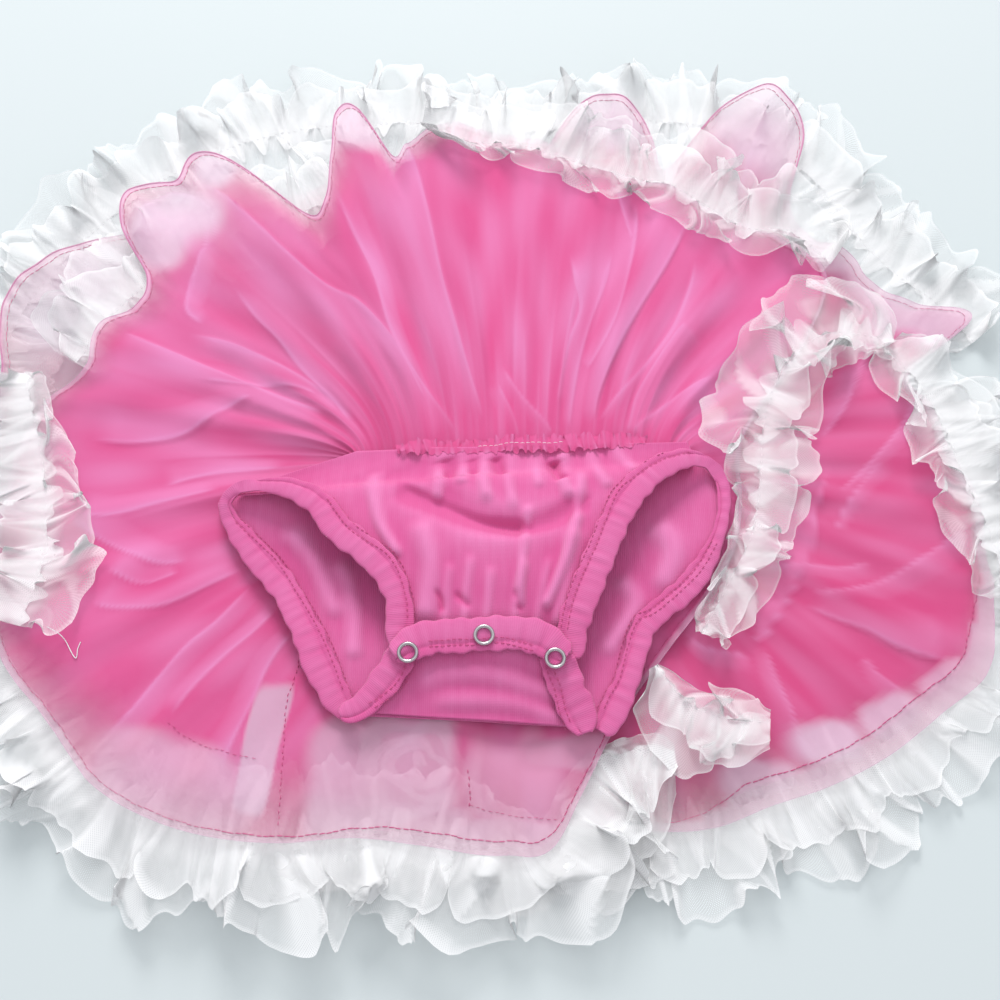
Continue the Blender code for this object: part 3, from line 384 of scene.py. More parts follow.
# ---- Cut of each cloth -----------------------------------------------------------------
# Width and length of the cut that shows in metres, its flat area in square metres where it
# isn't a rectangle, how it is held and what it rests on.  A ruffle's row has the width and
# length of its wide strip and of its upper strip, then what it rests on.
SHEETS = {
    "bodice_back_knit": (0.184, 0.172, 0.0252, "laid", "table_top"),
    "bodice_front_knit": (0.184, 0.172, 0.0252, "laid", "bodice_back"),
    "skirt_outer_front_chiffon": (
        0.74, 0.19, 0.094, "gathered", "bodice_front ruffle_outer_front"),
    "skirt_outer_back_chiffon": (0.70, 0.17, 0.088, "gathered", "ruffle_outer_back"),
    "skirt_inner_front_chiffon": (
        0.66, 0.16, 0.074, "gathered", "skirt_outer_front ruffle_inner_front_left"),
    "skirt_inner_back_chiffon": (
        0.62, 0.16, 0.068, "gathered", "skirt_outer_back rosette ruffle_inner_back"),
    "ruffle_outer_back": (0.066, 0.93, 0.030, 0.89, "table_top"),
    "ruffle_outer_front": (0.060, 0.89, 0.027, 0.87, "table_top"),
    "ruffle_inner_back": (0.062, 0.51, 0.031, 0.46, "skirt_outer_back"),
    "ruffle_inner_front_left": (0.056, 0.25, 0.027, 0.24, "skirt_outer_front"),
    "ruffle_inner_front_right": (0.044, 0.33, 0.024, 0.29, "skirt_inner_front"),
    "ruffle_inner_left": (0.050, 0.19, 0.025, 0.16, "skirt_inner_back"),
    "ruffle_inner_side": (0.038, 0.34, 0.016, 0.27, "skirt_outer_back skirt_inner_back"),
    "ruffle_inner_tail": (0.034, 0.092, 0.017, 0.087, "skirt_outer_back skirt_inner_back"),
    "ruffle_outer_side": (0.047, 0.186, 0.023, 0.171, "skirt_outer_back"),
    "rosette_net": (0.012, 0.26, None, "gathered", "skirt_outer_back"),
    "waist_frill_chiffon": (0.010, 0.16, None, "gathered", "brief_front skirt_inner_front"),
    "brief_back_knit": (0.235, 0.125, 0.0245, "laid", "skirt_inner_back"),
    "brief_front_knit": (0.22, 0.10, 0.0134, "laid", "brief_back"),
    "crotch_flap_knit": (0.105, 0.045, 0.0034, "folded", "brief_back brief_front"),
    "leg_band_left_knit": (0.012, 0.30, None, "folded", "brief_front brief_back"),
    "leg_band_right_knit": (0.012, 0.31, None, "folded", "brief_front brief_back"),
    "flap_band_left_knit": (0.012, 0.046, None, "folded", "crotch_flap"),
    "flap_band_right_knit": (0.014, 0.046, None, "folded", "crotch_flap"),
    "snap_placket_knit": (0.015, 0.086, None, "folded", "crotch_flap"),
}
# What is sewn or pressed on a cloth, besides hems, gathering threads and rows of stitches.
ON_SHEETS = {
    "skirt_inner_back_chiffon": "skirt_seam_stitches",
    "ruffle_inner_left_net": "loose_thread",
    "waist_frill_chiffon": "waist_stitches",
    "brief_front_knit": "brief_stitches",
    "snap_placket_knit": "snap_1_ring snap_2_ring snap_3_ring",
}

# ---- Colours, linear -------------------------------------------------------------------
PINK_DEEP = (0.73, 0.104, 0.295)
PINK_MAUVE = (0.80, 0.265, 0.530)
# Darker copies of the chiffon's colours: painted shade for the outer skirt.
PINK_DEEP_PAINTED_SHADE = (0.66, 0.080, 0.235)
PINK_MAUVE_PAINTED_SHADE = (0.74, 0.215, 0.430)
PINK_PALE = (0.985, 0.650, 0.865)
KNIT_PINK = (0.665, 0.103, 0.305)
KNIT_LIGHT = (0.81, 0.262, 0.525)
NET_WHITE, NET_SHADE = (0.99, 0.98, 0.99), (0.95, 0.94, 0.96)
THREAD_PINK, THREAD_PINK_LIGHT = (0.52, 0.045, 0.180), (0.66, 0.08, 0.26)
THREAD_WHITE, THREAD_WHITE_LIGHT = (0.86, 0.80, 0.84), (0.95, 0.92, 0.94)
NICKEL, NICKEL_WORN = (0.40, 0.36, 0.38), (0.60, 0.56, 0.58)
TABLE, TABLE_LIGHT = (0.635, 0.69, 0.705), (0.68, 0.725, 0.74)
SKY = (0.93, 0.97, 1.0)
WHITE, BLACK = (1.0, 1.0, 1.0), (0.0, 0.0, 0.0)
CHIFFON_SHEEN, KNIT_SHEEN = (1.0, 0.82, 0.93), (1.0, 0.85, 0.93)
# Pitches of threads and ribs in mm, and the turn of the net's threads.
CHIFFON_THREAD, NET_THREAD, KNIT_RIB, BINDING_RIB = 0.45, 0.85, 0.9, 0.8
NET_SLANT = math.radians(38)


# ---- Curves and coordinates ------------------------------------------------------------
def fan(angle, reach):
    """Plan position of a fan angle (degrees) and reach; the waist line has reach 40."""
    turn = np.radians(angle)
    squeeze = (WAIST_HALF / 2.0) ** 2 / reach
    return (reach + squeeze) * np.cos(turn), (reach - squeeze) * np.sin(turn)


def through(knots, values, at, period=None):
    """Smooth curve through (knots, values), read at the points of the array at."""
    knots = np.asarray(knots, float)
    values = np.asarray(values, float)
    if period:
        knots = np.concatenate([knots - period, knots, knots + period])
        values = np.concatenate([values, values, values])
        at = np.mod(at, period)
    slopes = np.gradient(values, knots, axis=0)
    cell = np.clip(np.searchsorted(knots, at, side="right") - 1, 0, len(knots) - 2)
    width = knots[cell + 1] - knots[cell]
    t = (at - knots[cell]) / width
    if values.ndim == 2:
        t = t[:, None]
        width = width[:, None]
    rise = t * t * (3 - 2 * t)
    return (
        values[cell] * (1 - rise) + values[cell + 1] * rise
        + slopes[cell] * width * t * (1 - t) ** 2
        - slopes[cell + 1] * width * t * t * (1 - t)
    )


def summed(steps):
    """Running totals of steps, from 0."""
    return np.concatenate([[0.0], np.cumsum(steps)])


def path_through(rows, spacing):
    """Even steps of about the given spacing along a table's line, with all its columns, and
    the length up to each."""
    rows = np.asarray(rows, float)
    knots = summed(np.hypot(*np.diff(rows[:, :2], axis=0).T))
    fine = through(knots, rows, np.linspace(0.0, knots[-1], 400))
    length = summed(np.hypot(*np.diff(fine[:, :2], axis=0).T))
    along = np.linspace(0.0, length[-1], max(2, round(length[-1] / spacing)) + 1)
    return np.stack([np.interp(along, length, column) for column in fine.T], axis=1), along


def right_side(points):
    """Unit vectors to the right of a line's direction, one at each of its points."""
    ahead = np.gradient(points[:, :2], axis=0)
    ahead /= np.hypot(ahead[:, 0], ahead[:, 1])[:, None]
    return np.stack([ahead[:, 1], -ahead[:, 0]], axis=1)


def strip_plan(points, side, widths):
    """Plan grid at the given widths to the right of a line's points."""
    return points[:, None, :2] + side[:, None, :] * widths[..., None]


def from_ends(along):
    """Distance along a line from its nearer end."""
    return np.minimum(along, along[-1] - along)


def pairs(first, second):
    """Two arrays broadcast to one grid, as its last axis."""
    return np.stack(np.broadcast_arrays(first, second), axis=-1)


def raised_to(plan, heights):
    """3-D points from plan positions and their heights."""
    return np.concatenate([plan, heights[..., None]], axis=-1)


def ring_points(centre, turns, reach, heights):
    """Points at turns (a column of angles) and reaches round a middle."""
    x, y = centre[0] + reach * np.cos(turns), centre[1] + reach * np.sin(turns)
    return raised_to(pairs(x, y), np.broadcast_to(heights, x.shape))


def ease(t):
    """0 below 0, 1 above 1 and smooth between."""
    t = np.clip(t, 0.0, 1.0)
    return t * t * (3.0 - 2.0 * t)


def shifted(grid, radius, axis, wrap):
    """A grid moved by each number of cells within a radius along one axis."""
    pad = [(radius, radius) if a == axis else (0, 0) for a in range(grid.ndim)]
    padded = np.pad(grid, pad, mode="wrap" if wrap else "edge")
    for k in range(2 * radius + 1):
        yield np.take(padded, range(k, k + grid.shape[axis]), axis)


def blur(grid, sigma, axis, wrap=False):
    """Gaussian mean along one axis, in cells."""
    radius = int(3 * sigma) + 1
    kernel = np.exp(-0.5 * (np.arange(-radius, radius + 1) / sigma) ** 2)
    total = sum(w * moved for w, moved in zip(kernel, shifted(grid, radius, axis, wrap)))
    return total / kernel.sum()


def soften(grid, rows, columns=None, wrap=False):
    """Gaussian mean along both axes of a grid."""
    return blur(blur(grid, rows, 0, wrap), rows if columns is None else columns, 1)


def widest(grid, radius, axis, wrap=False):
    """Highest value within so many cells along one axis."""
    return np.max(list(shifted(grid, radius, axis, wrap)), axis=0)


def beside(plan, line):
    """Signed distance of plan points from a line, positive on its left, and the share
    of the way along it of the nearest point."""
    best = np.full(plan.shape[:-1], 1e9)
    signed, share = best.copy(), np.zeros_like(best)
    count = len(line) - 1
    for k in range(count):
        start, ahead = line[k], line[k + 1] - line[k]
        rel = plan - start
        t = np.clip(rel @ ahead / (ahead @ ahead), 0.0, 1.0)
        gap = rel - t[..., None] * ahead
        distance = np.hypot(gap[..., 0], gap[..., 1])
        side = np.where(ahead[0] * rel[..., 1] - ahead[1] * rel[..., 0] >= 0, 1.0, -1.0)
        near = distance < best
        best = np.where(near, distance, best)
        signed = np.where(near, distance * side, signed)
        share = np.where(near, (k + t) / count, share)
    return signed, share


def crease_heights(plan, creases, taper=0.55):
    """Heights of creases over a plan grid, and their tone: 1 at the crisp edge, falling across
    the band of cloth that is doubled or stands up beside it; the tone is partly the doubled
    cloth's paler colour and partly a painted highlight."""
    height = np.zeros(plan.shape[:-1])
    tone = np.zeros_like(height)
    for side, width, high, steep, line in creases:
        line = np.asarray(line, float)
        smooth_line = through(np.arange(len(line)), line,
                              np.linspace(0, len(line) - 1, 6 * len(line)))
        low, top = smooth_line.min(0) - width - 3.0, smooth_line.max(0) + width + 3.0
        near = ((plan >= low) & (plan <= top)).all(-1)
        if not near.any():
            continue
        signed, share = beside(plan[near], smooth_line)
        into = signed * side
        band = width * (1.0 - taper * share)
        rise = np.where(into >= 0, 0.5 + 0.5 * np.cos(np.pi * np.clip(into / band, 0, 1)),
                        0.5 + 0.5 * np.cos(np.pi * np.clip(-into / steep, 0, 1)))
        glow = np.where(into >= 0, np.clip(1.0 - into / band, 0, 1) ** 0.6,
                        np.clip(1.0 + into / 1.0, 0, 1))
        # Painted highlight: a bright line along the crisp edge, over the band's tone.
        glow = 0.64 * glow + 0.36 * np.exp(-(into / 1.1) ** 2)
        ends = ease(share / 0.18)
        if taper > 0.5:
            ends = ends * ease((1.0 - share) / 0.12)
            high = high * (1.0 - 0.45 * share)
        height[near] += high * rise * ends
        if np.max(high) > 0:
            tone[near] = np.maximum(tone[near], glow * ends)
    return height, tone


def drifts(angles, reaches, seed, pitches):
    """A soft random pattern round a skirt, about -1 to 1: pitches are (degrees, mm)."""
    source = np.random.default_rng(seed)
    total = 0.0
    for degrees, length in pitches:
        for _ in range(2):
            turns = round(360.0 / (degrees * source.uniform(0.7, 1.4)))
            outwards = source.choice([-1, 1]) * 2 * math.pi / (length * source.uniform(0.7, 1.4))
            total = total + np.sin(np.radians(angles) * turns + reaches * outwards
                                   + source.uniform(0, 6.3))
    return total / len(pitches)


# ---- The solids and the pile of cloth --------------------------------------------------
class Solid:
    """The middle heights of one or more CAD nodes."""

    def __init__(self, *names):
        verts, faces = [], []
        for name in names:
            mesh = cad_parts[name].data
            start = len(verts)
            verts += [(v.co.x / MM + PART_CENTRE[0], v.co.y / MM + PART_CENTRE[1], v.co.z / MM)
                      for v in mesh.vertices]
            faces += [[start + k for k in p.vertices] for p in mesh.polygons]
        self.tree = BVHTree.FromPolygons(verts, faces)

    def middle(self, plan):
        """Height of the wall's middle over each plan point, carried on past its edges."""
        flat = plan.reshape(-1, 2)
        down, up = Vector((0, 0, -1)), Vector((0, 0, 1))
        heights = np.full(len(flat), np.nan)
        for k, (x, y) in enumerate(flat):
            top = self.tree.ray_cast(Vector((x, y, 200.0)), down)[0]
            if top:
                low = self.tree.ray_cast(Vector((x, y, -5.0)), up)[0]
                heights[k] = (top.z + low.z) / 2.0 if low else top.z
        return carry_on(heights.reshape(plan.shape[:-1]))


def carry_on(grid):
    """Fills the missing values of a grid from their neighbours."""
    for _ in range(400):
        missing = np.isnan(grid)
        if not missing.any():
            break
        padded = np.pad(grid, 1, constant_values=np.nan)
        around = np.stack([padded[2:, 1:-1], padded[:-2, 1:-1],
                           padded[1:-1, 2:], padded[1:-1, :-2]])
        known = ~np.isnan(around)
        count = known.sum(0)
        mean = np.where(known, around, 0.0).sum(0) / np.maximum(count, 1)
        grid = np.where(missing & (count > 0), mean, grid)
    return grid


class Pile:
    """Height of the cloth laid so far, on a raster of the table."""

    CELL, REACH = 1.0, np.array((320.0, 270.0))

    def __init__(self):
        self.high = np.zeros((2 * self.REACH / self.CELL).astype(int))
        self.last = np.array(self.high.shape) - 1

    def add(self, points, finer=3):
        """Lays a grid of points on the raster."""
        for axis in (0, 1):
            count = points.shape[axis]
            at = np.linspace(0, count - 1, (count - 1) * finer + 1)
            low = np.minimum(at.astype(int), count - 2)
            share = (at - low).reshape([-1 if a == axis else 1 for a in range(3)])
            points = (np.take(points, low, axis) * (1 - share)
                      + np.take(points, low + 1, axis) * share)
        cell = ((points[..., :2] + self.REACH) / self.CELL).astype(int).clip(0, self.last)
        np.maximum.at(self.high, (cell[..., 0], cell[..., 1]), points[..., 2])

    def over(self, plan):
        """Height of the pile at plan positions, read smoothly between cells."""
        at = (plan[..., :2] + self.REACH) / self.CELL - 0.5
        low = np.floor(at).astype(int).clip(0, self.last - 1)
        s, t = np.moveaxis((at - low).clip(0, 1), -1, 0)
        i, j = np.moveaxis(low, -1, 0)
        h = self.high
        return (h[i, j] * (1 - s) * (1 - t) + h[i + 1, j] * s * (1 - t)
                + h[i, j + 1] * (1 - s) * t + h[i + 1, j + 1] * s * t)


PILE = Pile()


def lift_clear(plan, heights, gap, cells=(3, 3), wrap=False):
    """Raises heights smoothly to where they clear the pile by gap."""
    short = np.maximum(PILE.over(plan) + gap - heights, 0.0)
    short = widest(widest(short, cells[0], 0, wrap), cells[1], 1)
    return heights + soften(short, cells[0] * 0.6, cells[1] * 0.6, wrap)


# ---- Materials -------------------------------------------------------------------------
class Paint:
    """Builds one material's nodes with short calls."""

    def __init__(self, name):
        self.material = bpy.data.materials.new(name)
        self.material.use_nodes = True
        self.tree = self.material.node_tree
        self.tree.nodes.clear()

    def node(self, kind, settings=None, inputs=None, output=0):
        node = self.tree.nodes.new("ShaderNode" + kind)
        for key, value in (settings or {}).items():
            setattr(node, key, value)
        for key, value in (inputs or {}).items():
            if isinstance(value, bpy.types.NodeSocket):
                self.tree.links.new(value, node.inputs[key])
            else:
                node.inputs[key].default_value = value
        return node.outputs[output] if len(node.outputs) else None

    def maths(self, operation, a, b=0.0, clamp=False):
        return self.node("Math", {"operation": operation, "use_clamp": clamp}, {0: a, 1: b})

    def mix(self, share, a, b):
        """Colour a at share 0 and b at share 1."""
        return self.node("Mix", {"data_type": "RGBA"}, {0: share, 6: a, 7: b}, output=2)

    def total(self, *terms, clamp=False):
        """Sum of terms, each a value, its factor and perhaps what is first taken from it."""
        result = None
        for k, (value, factor, *less) in enumerate(terms):
            if less:
                value = self.maths("SUBTRACT", value, less[0])
            if factor != 1:
                value = self.maths("MULTIPLY", value, factor)
            last = k == len(terms) - 1
            result = value if k == 0 else self.maths("ADD", result, value, clamp and last)
        return result

    def attribute(self, name):
        return self.node("Attribute", {"attribute_name": name}, output=2)

    def stretched(self, source, scale):
        """Coordinates multiplied by a scale, or by one for each axis."""
        scale = scale if isinstance(scale, tuple) else (scale,) * 3
        return self.node("Mapping", None, {0: source, 3: scale})

    def inside(self):
        """Coordinates within the object, in metres."""
        return self.node("TexCoord", output=3)

    def uv(self, name):
        return self.node("UVMap", {"uv_map": name})

    def noise(self, vector, scale, detail):
        """Soft noise of size 1 over stretched coordinates, 0 to 1."""
        stretched = self.stretched(vector, scale)
        return self.node("TexNoise", None, {"Vector": stretched, "Scale": 1.0, "Detail": detail})

    def bands(self, vector, direction, pitch, distortion=0.0):
        """Ridges of one pitch across x or y, 0 to 1."""
        return self.node("TexWave", {"bands_direction": direction}, {
            "Vector": vector, "Scale": math.pi / 10.0 / pitch, "Distortion": distortion,
            "Detail": 1.0, "Detail Scale": 1.0}, output=1)

    def bump(self, height, strength, distance):
        return self.node("Bump", None, {
            "Height": height, "Strength": strength, "Distance": distance})

    def threads(self, vector, pitch):
        """A weave's crossing threads, 0 to 1."""
        across, down = (self.bands(vector, direction, pitch) for direction in "XY")
        return self.maths("MAXIMUM", across, down)

    def principled(self, inputs):
        return self.node("BsdfPrincipled", None, inputs)

    def finish(self, shader):
        self.node("OutputMaterial", None, {0: shader})
        return self.material


def rgba(colour):
    """A colour as a node's socket takes it, opaque."""
    return (*colour, 1.0)


def cloth_shader(paint, colour, roughness, normal, sheen, glow, tint=WHITE, even=0.6,
                 facing=(0.0, 0.0, 1.0)):
    """A sheer cloth's front light and sheen, with a share of the light that comes through it;
    its threads scatter light so evenly that slopes shade only in part."""
    flat = paint.node("NewGeometry", output=1)
    leaned = paint.node("Mix", {"data_type": "VECTOR"}, {0: even, 4: normal or flat, 5: facing},
                        output=1)
    front = paint.principled({
        "Base Color": colour, "Roughness": roughness, "Specular IOR Level": 0.06,
        "Sheen Weight": sheen, "Sheen Roughness": 0.45, "Sheen Tint": rgba(tint),
        "Normal": paint.node("VectorMath", {"operation": "NORMALIZE"}, {0: leaned})})
    through_it = paint.node("BsdfTranslucent", None, {
        "Color": paint.mix(glow, rgba(BLACK), colour), "Normal": flat})
    return paint.node("AddShader", None, {0: front, 1: through_it})


def sheer(paint, cover, shader):
    """The shader where threads are, and clear between them."""
    clear = paint.node("BsdfTransparent")
    return paint.finish(paint.node("MixShader", None, {0: cover, 1: clear, 2: shader}))


def chiffon_material(name, deep, mauve):
    """Sheer pink chiffon: fine threads and soft streaks along the gathers, mauve and paler
    where the cloth is doubled, with a painted highlight where it stands up into the light
    and painted shade that its pieces carry."""
    paint = Paint(name)
    fan_map = paint.uv("fan")
    streaks = paint.noise(fan_map, (0.32, 0.014, 1.0), 1.0)
    threads = paint.threads(paint.uv("cloth"), CHIFFON_THREAD)
    # The tone attribute carries the cloth's own tone together with painted highlights and painted
    # shade.
    shade = paint.total((paint.attribute("painted_light_and_tone"), 1), (streaks, 0.45, 0.5), (threads, 0.06),
                        clamp=True)
    colour = paint.mix(paint.attribute("pale"), paint.mix(shade, rgba(deep), rgba(mauve)),
                       rgba(PINK_PALE))
    cover = paint.total((paint.attribute("cover"), 1), (threads, 0.12, 0.7), clamp=True)
    return sheer(paint, cover, cloth_shader(
        paint, colour, 0.65, paint.bump(streaks, 0.3, 0.0025), 0.04, 0.02, CHIFFON_SHEEN))


def net_material(name):
    """White net: an open mesh of threads."""
    paint = Paint(name)
    slant = paint.node("Mapping", None, {0: paint.uv("cloth"), 2: (0.0, 0.0, NET_SLANT)})
    threads = paint.threads(slant, NET_THREAD)
    colour = paint.mix(threads, rgba(NET_SHADE), rgba(NET_WHITE))
    cover = paint.maths("MULTIPLY", paint.attribute("cover"), paint.maths(
        "ADD", paint.maths("MULTIPLY", threads, 0.34), 0.78), clamp=True)
    return sheer(paint, cover, cloth_shader(
        paint, colour, 0.6, None, 0.06, 0.07, even=0.68, facing=(0.0, 0.12, 0.99)))


def knit_material(name, pitch):
    """Pink cotton knit: fine ribs, soft fuzz, a little fading, and the painted shade and light
    that its pieces carry.
    """
    paint = Paint(name)
    cloth_map = paint.uv("cloth")
    wander = paint.noise(cloth_map, (0.35, 0.05, 1.0), 2.0)
    ribs = paint.bands(cloth_map, "X", pitch, 0.6)
    loops = paint.bands(cloth_map, "Y", pitch * 0.7, 0.6)
    cloud = paint.noise(cloth_map, (0.03, 0.03, 1.0), 4.0)
    # The tone attribute paints shade in the hollows and light on the ridges and creases.
    shade = paint.total((ribs, 0.14), (wander, 0.30), (cloud, 0.5, 0.5),
                        (paint.attribute("painted_light_and_tone"), 0.7, 0.3), clamp=True)
    height = paint.total((ribs, 0.6), (loops, 0.25), (wander, 1.2))
    return paint.finish(paint.principled({
        "Base Color": paint.mix(shade, rgba(KNIT_PINK), rgba(KNIT_LIGHT)), "Roughness": 0.9,
        "Normal": paint.bump(height, 0.5, 0.0003), "Specular IOR Level": 0.15,
        "Sheen Weight": 0.25, "Sheen Roughness": 0.5, "Sheen Tint": rgba(KNIT_SHEEN)}))


def thread_material(name, colour, light):
    """Sewing thread: twisted plies with a faint gloss."""
    paint = Paint(name)
    twist = paint.bands(paint.stretched(paint.inside(), 1000.0), "DIAGONAL", 0.5)
    return paint.finish(paint.principled({
        "Base Color": paint.mix(twist, rgba(colour), rgba(light)), "Roughness": 0.6,
        "Normal": paint.bump(twist, 0.4, 0.0001), "Sheen Weight": 0.2}))


def metal_material(name):
    """Brushed nickel of the snaps."""
    paint = Paint(name)
    wear = paint.noise(paint.inside(), 140.0, 2.0)
    rough = paint.maths("ADD", paint.maths("MULTIPLY", wear, 0.25), 0.15)
    return paint.finish(paint.principled({
        "Base Color": paint.mix(wear, rgba(NICKEL), rgba(NICKEL_WORN)), "Metallic": 1.0,
        "Roughness": rough}))


CHIFFON = chiffon_material("chiffon_sheer", PINK_DEEP, PINK_MAUVE)
# The same chiffon in darker colours, with painted shade for the outer skirt.
CHIFFON_PAINTED_SHADE = chiffon_material("chiffon_painted_shade", PINK_DEEP_PAINTED_SHADE, PINK_MAUVE_PAINTED_SHADE)
NET = net_material("net_sheer")
KNIT = knit_material("knit_rib", KNIT_RIB)
BINDING = knit_material("knit_binding", BINDING_RIB)
SEWING = thread_material("thread_pink", THREAD_PINK, THREAD_PINK_LIGHT)
SEWING_WHITE = thread_material("thread_white", THREAD_WHITE, THREAD_WHITE_LIGHT)
METAL = metal_material("snap_nickel")


# ---- Making meshes ---------------------------------------------------------------------
def placed_in_scene(name, data):
    """A new object of the scene that has the data."""
    holder = bpy.data.objects.new(name, data)
    bpy.context.scene.collection.objects.link(holder)
    return holder


def make_object(name, points, faces, material, maps=None, values=None):
    """A mesh object from points in mm and faces, with UV maps and values for each point."""
    mesh = bpy.data.meshes.new(name)
    placed = (np.asarray(points, float) - (*PART_CENTRE, 0.0)) * MM
    mesh.vertices.add(len(placed))
    mesh.vertices.foreach_set("co", placed.astype(np.float32).ravel())
    size = faces.shape[1]
    mesh.loops.add(faces.size)
    mesh.loops.foreach_set("vertex_index", faces.astype(np.int32).ravel())
    mesh.polygons.add(len(faces))
    mesh.polygons.foreach_set("loop_start", np.arange(0, faces.size, size, dtype=np.int32))
    mesh.polygons.foreach_set("loop_total", np.full(len(faces), size, np.int32))
    mesh.update(calc_edges=True)
    for label, coordinates in (maps or {}).items():
        layer = mesh.uv_layers.new(name=label)
        layer.data.foreach_set("uv", coordinates[faces.ravel()].astype(np.float32).ravel())
    for label, numbers in (values or {}).items():
        layer = mesh.attributes.new(label, "FLOAT", "POINT")
        layer.data.foreach_set("value", numbers.astype(np.float32).ravel())
    mesh.materials.append(material)
    mesh.shade_smooth()
    mesh.validate()
    return placed_in_scene(name, mesh)


def grid_faces(count_i, count_j, closed_i=False, closed_j=False):
    """Quads of a grid of points, joined end to end where closed."""
    i, j = np.meshgrid(np.arange(count_i - (not closed_i)), np.arange(count_j - (not closed_j)),
                       indexing="ij")
    i_next, j_next = (i + 1) % count_i * count_j, (j + 1) % count_j
    i = i * count_j
    return np.stack([i + j, i_next + j, i_next + j_next, i + j_next], axis=-1).reshape(-1, 4)


def normals_of(points):
    """Unit normals of a grid of points, upwards."""
    u, v = np.gradient(points, axis=0), np.gradient(points, axis=1)
    normal = np.cross(u, v)
    normal /= np.maximum(np.linalg.norm(normal, axis=-1, keepdims=True), 1e-9)
    return normal * np.where(normal[..., 2:] < 0, -1.0, 1.0)


def seen_through(points, cover):
    """Share covered by a sheer sheet seen from above: more threads overlap where it is steep."""
    upright = np.abs(normals_of(points)[..., 2]).clip(0.2, 1.0)
    return 1.0 - (1.0 - np.clip(cover, 0.0, 0.98)) ** (1.0 / upright)


def around_fan(table, angles):
    """The columns of a table of fan angles, read at others."""
    table = np.asarray(table, float)
    return [np.interp(angles, table[:, 0], column, period=360.0) for column in table[:, 1:].T]


def cloth_piece(name, points, material, maps, values, wall=0.0):
    """One cloth from a grid of points: a sheet, or a shell where it has a wall."""
    count_i, count_j = points.shape[:2]
    faces = grid_faces(count_i, count_j)
    maps = {k: m.reshape(-1, 2) for k, m in maps.items()}
    if wall:
        normal = normals_of(points)
        top, low = points + normal * wall / 2.0, points - normal * wall / 2.0
        size = count_i * count_j
        rim = [i * count_j for i in range(count_i)]
        rim += [(count_i - 1) * count_j + j for j in range(1, count_j)]
        rim += [i * count_j + count_j - 1 for i in range(count_i - 2, -1, -1)]
        rim += list(range(count_j - 2, 0, -1))
        sides = [[a, size + a, size + b, b] for a, b in zip(rim, rim[1:] + rim[:1])]
        points = np.concatenate([top.reshape(-1, 3), low.reshape(-1, 3)])
        faces = np.concatenate([faces, size + faces[:, ::-1], np.array(sides)])
        maps = {k: np.concatenate([m] * 2) for k, m in maps.items()}
        values = {k: np.concatenate([v.reshape(-1)] * 2) for k, v in values.items()}
    return make_object(name, points.reshape(-1, 3), faces, material, maps, values)


def tube(path, radius, sides=6):
    """Points and quads of an open round tube along a 3-D line."""
    ahead = np.gradient(path, axis=0)
    ahead /= np.maximum(np.linalg.norm(ahead, axis=1, keepdims=True), 1e-9)
    side = np.cross(ahead, (0.0, 0.0, 1.0))
    side /= np.maximum(np.linalg.norm(side, axis=1, keepdims=True), 1e-9)
    up = np.cross(side, ahead)
    radius = np.broadcast_to(radius, len(path))
    turns = np.linspace(0, 2 * math.pi, sides, endpoint=False)
    ring = (np.cos(turns)[None, :, None] * side[:, None, :]
            + np.sin(turns)[None, :, None] * up[:, None, :])
    points = path[:, None, :] + ring * radius[:, None, None]
    return points.reshape(-1, 3), grid_faces(len(path), sides, closed_j=True)[:, [0, 3, 2, 1]]


def even_line(line, pitch):
    """A 3-D line read at even steps of about pitch, with all its columns."""
    length = summed(np.linalg.norm(np.diff(line, axis=0), axis=1))
    at = np.linspace(0.0, length[-1], max(2, int(length[-1] / pitch) + 1))
    return np.stack([np.interp(at, length, column) for column in line.T], axis=1)


def joined(name, parts, material):
    """One object from many (points, faces) pairs."""
    starts = summed([len(points) for points, _ in parts]).astype(int)
    faces = [faces + start for (_, faces), start in zip(parts, starts)]
    return make_object(name, np.concatenate([points for points, _ in parts]),
                       np.concatenate(faces), material)


def stitches(line, pitch, length, radius=None, stray=0.22):
    """Dashes of thread along a 3-D line, each sunk a little at its ends; without a radius it
    is the line's fourth column."""
    step = 0.3
    fine = even_line(line, step)
    parts = []
    for k in range(int(len(fine) / (pitch / step))):
        first = int(k * (pitch / step))
        last = min(first + int(length / step), len(fine) - 1)
        if last - first < 3:
            continue
        dash = fine[np.linspace(first, last, 6).astype(int), :3]
        dash[:, :2] += (stray * math.sin(2.1 * k), stray * math.cos(1.3 * k))
        dash[:, 2] += np.array([-0.25, 0.0, 0.1, 0.1, 0.0, -0.25])
        thick = fine[first, 3] if radius is None else radius
        parts.append(tube(dash, np.array([0.3, 0.9, 1.0, 1.0, 0.9, 0.3]) * thick, 5))
    return parts


def keep(piece, slot, *nodes):
    """Puts a piece under the root, and hides the solids that it stands for."""
    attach(piece, "root")
    if nodes:
        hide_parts(*nodes)


def wavy(length, seed, pitches=(41.0, 23.0, 13.0)):
    """An uneven curve along a strip, between -1 and 1."""
    source = np.random.default_rng(seed)
    total = sum(np.sin(length / (pitch * source.uniform(0.8, 1.25)) * 2 * math.pi
                       + source.uniform(0, 6.3)) for pitch in pitches)
    return total / len(pitches) * 1.3


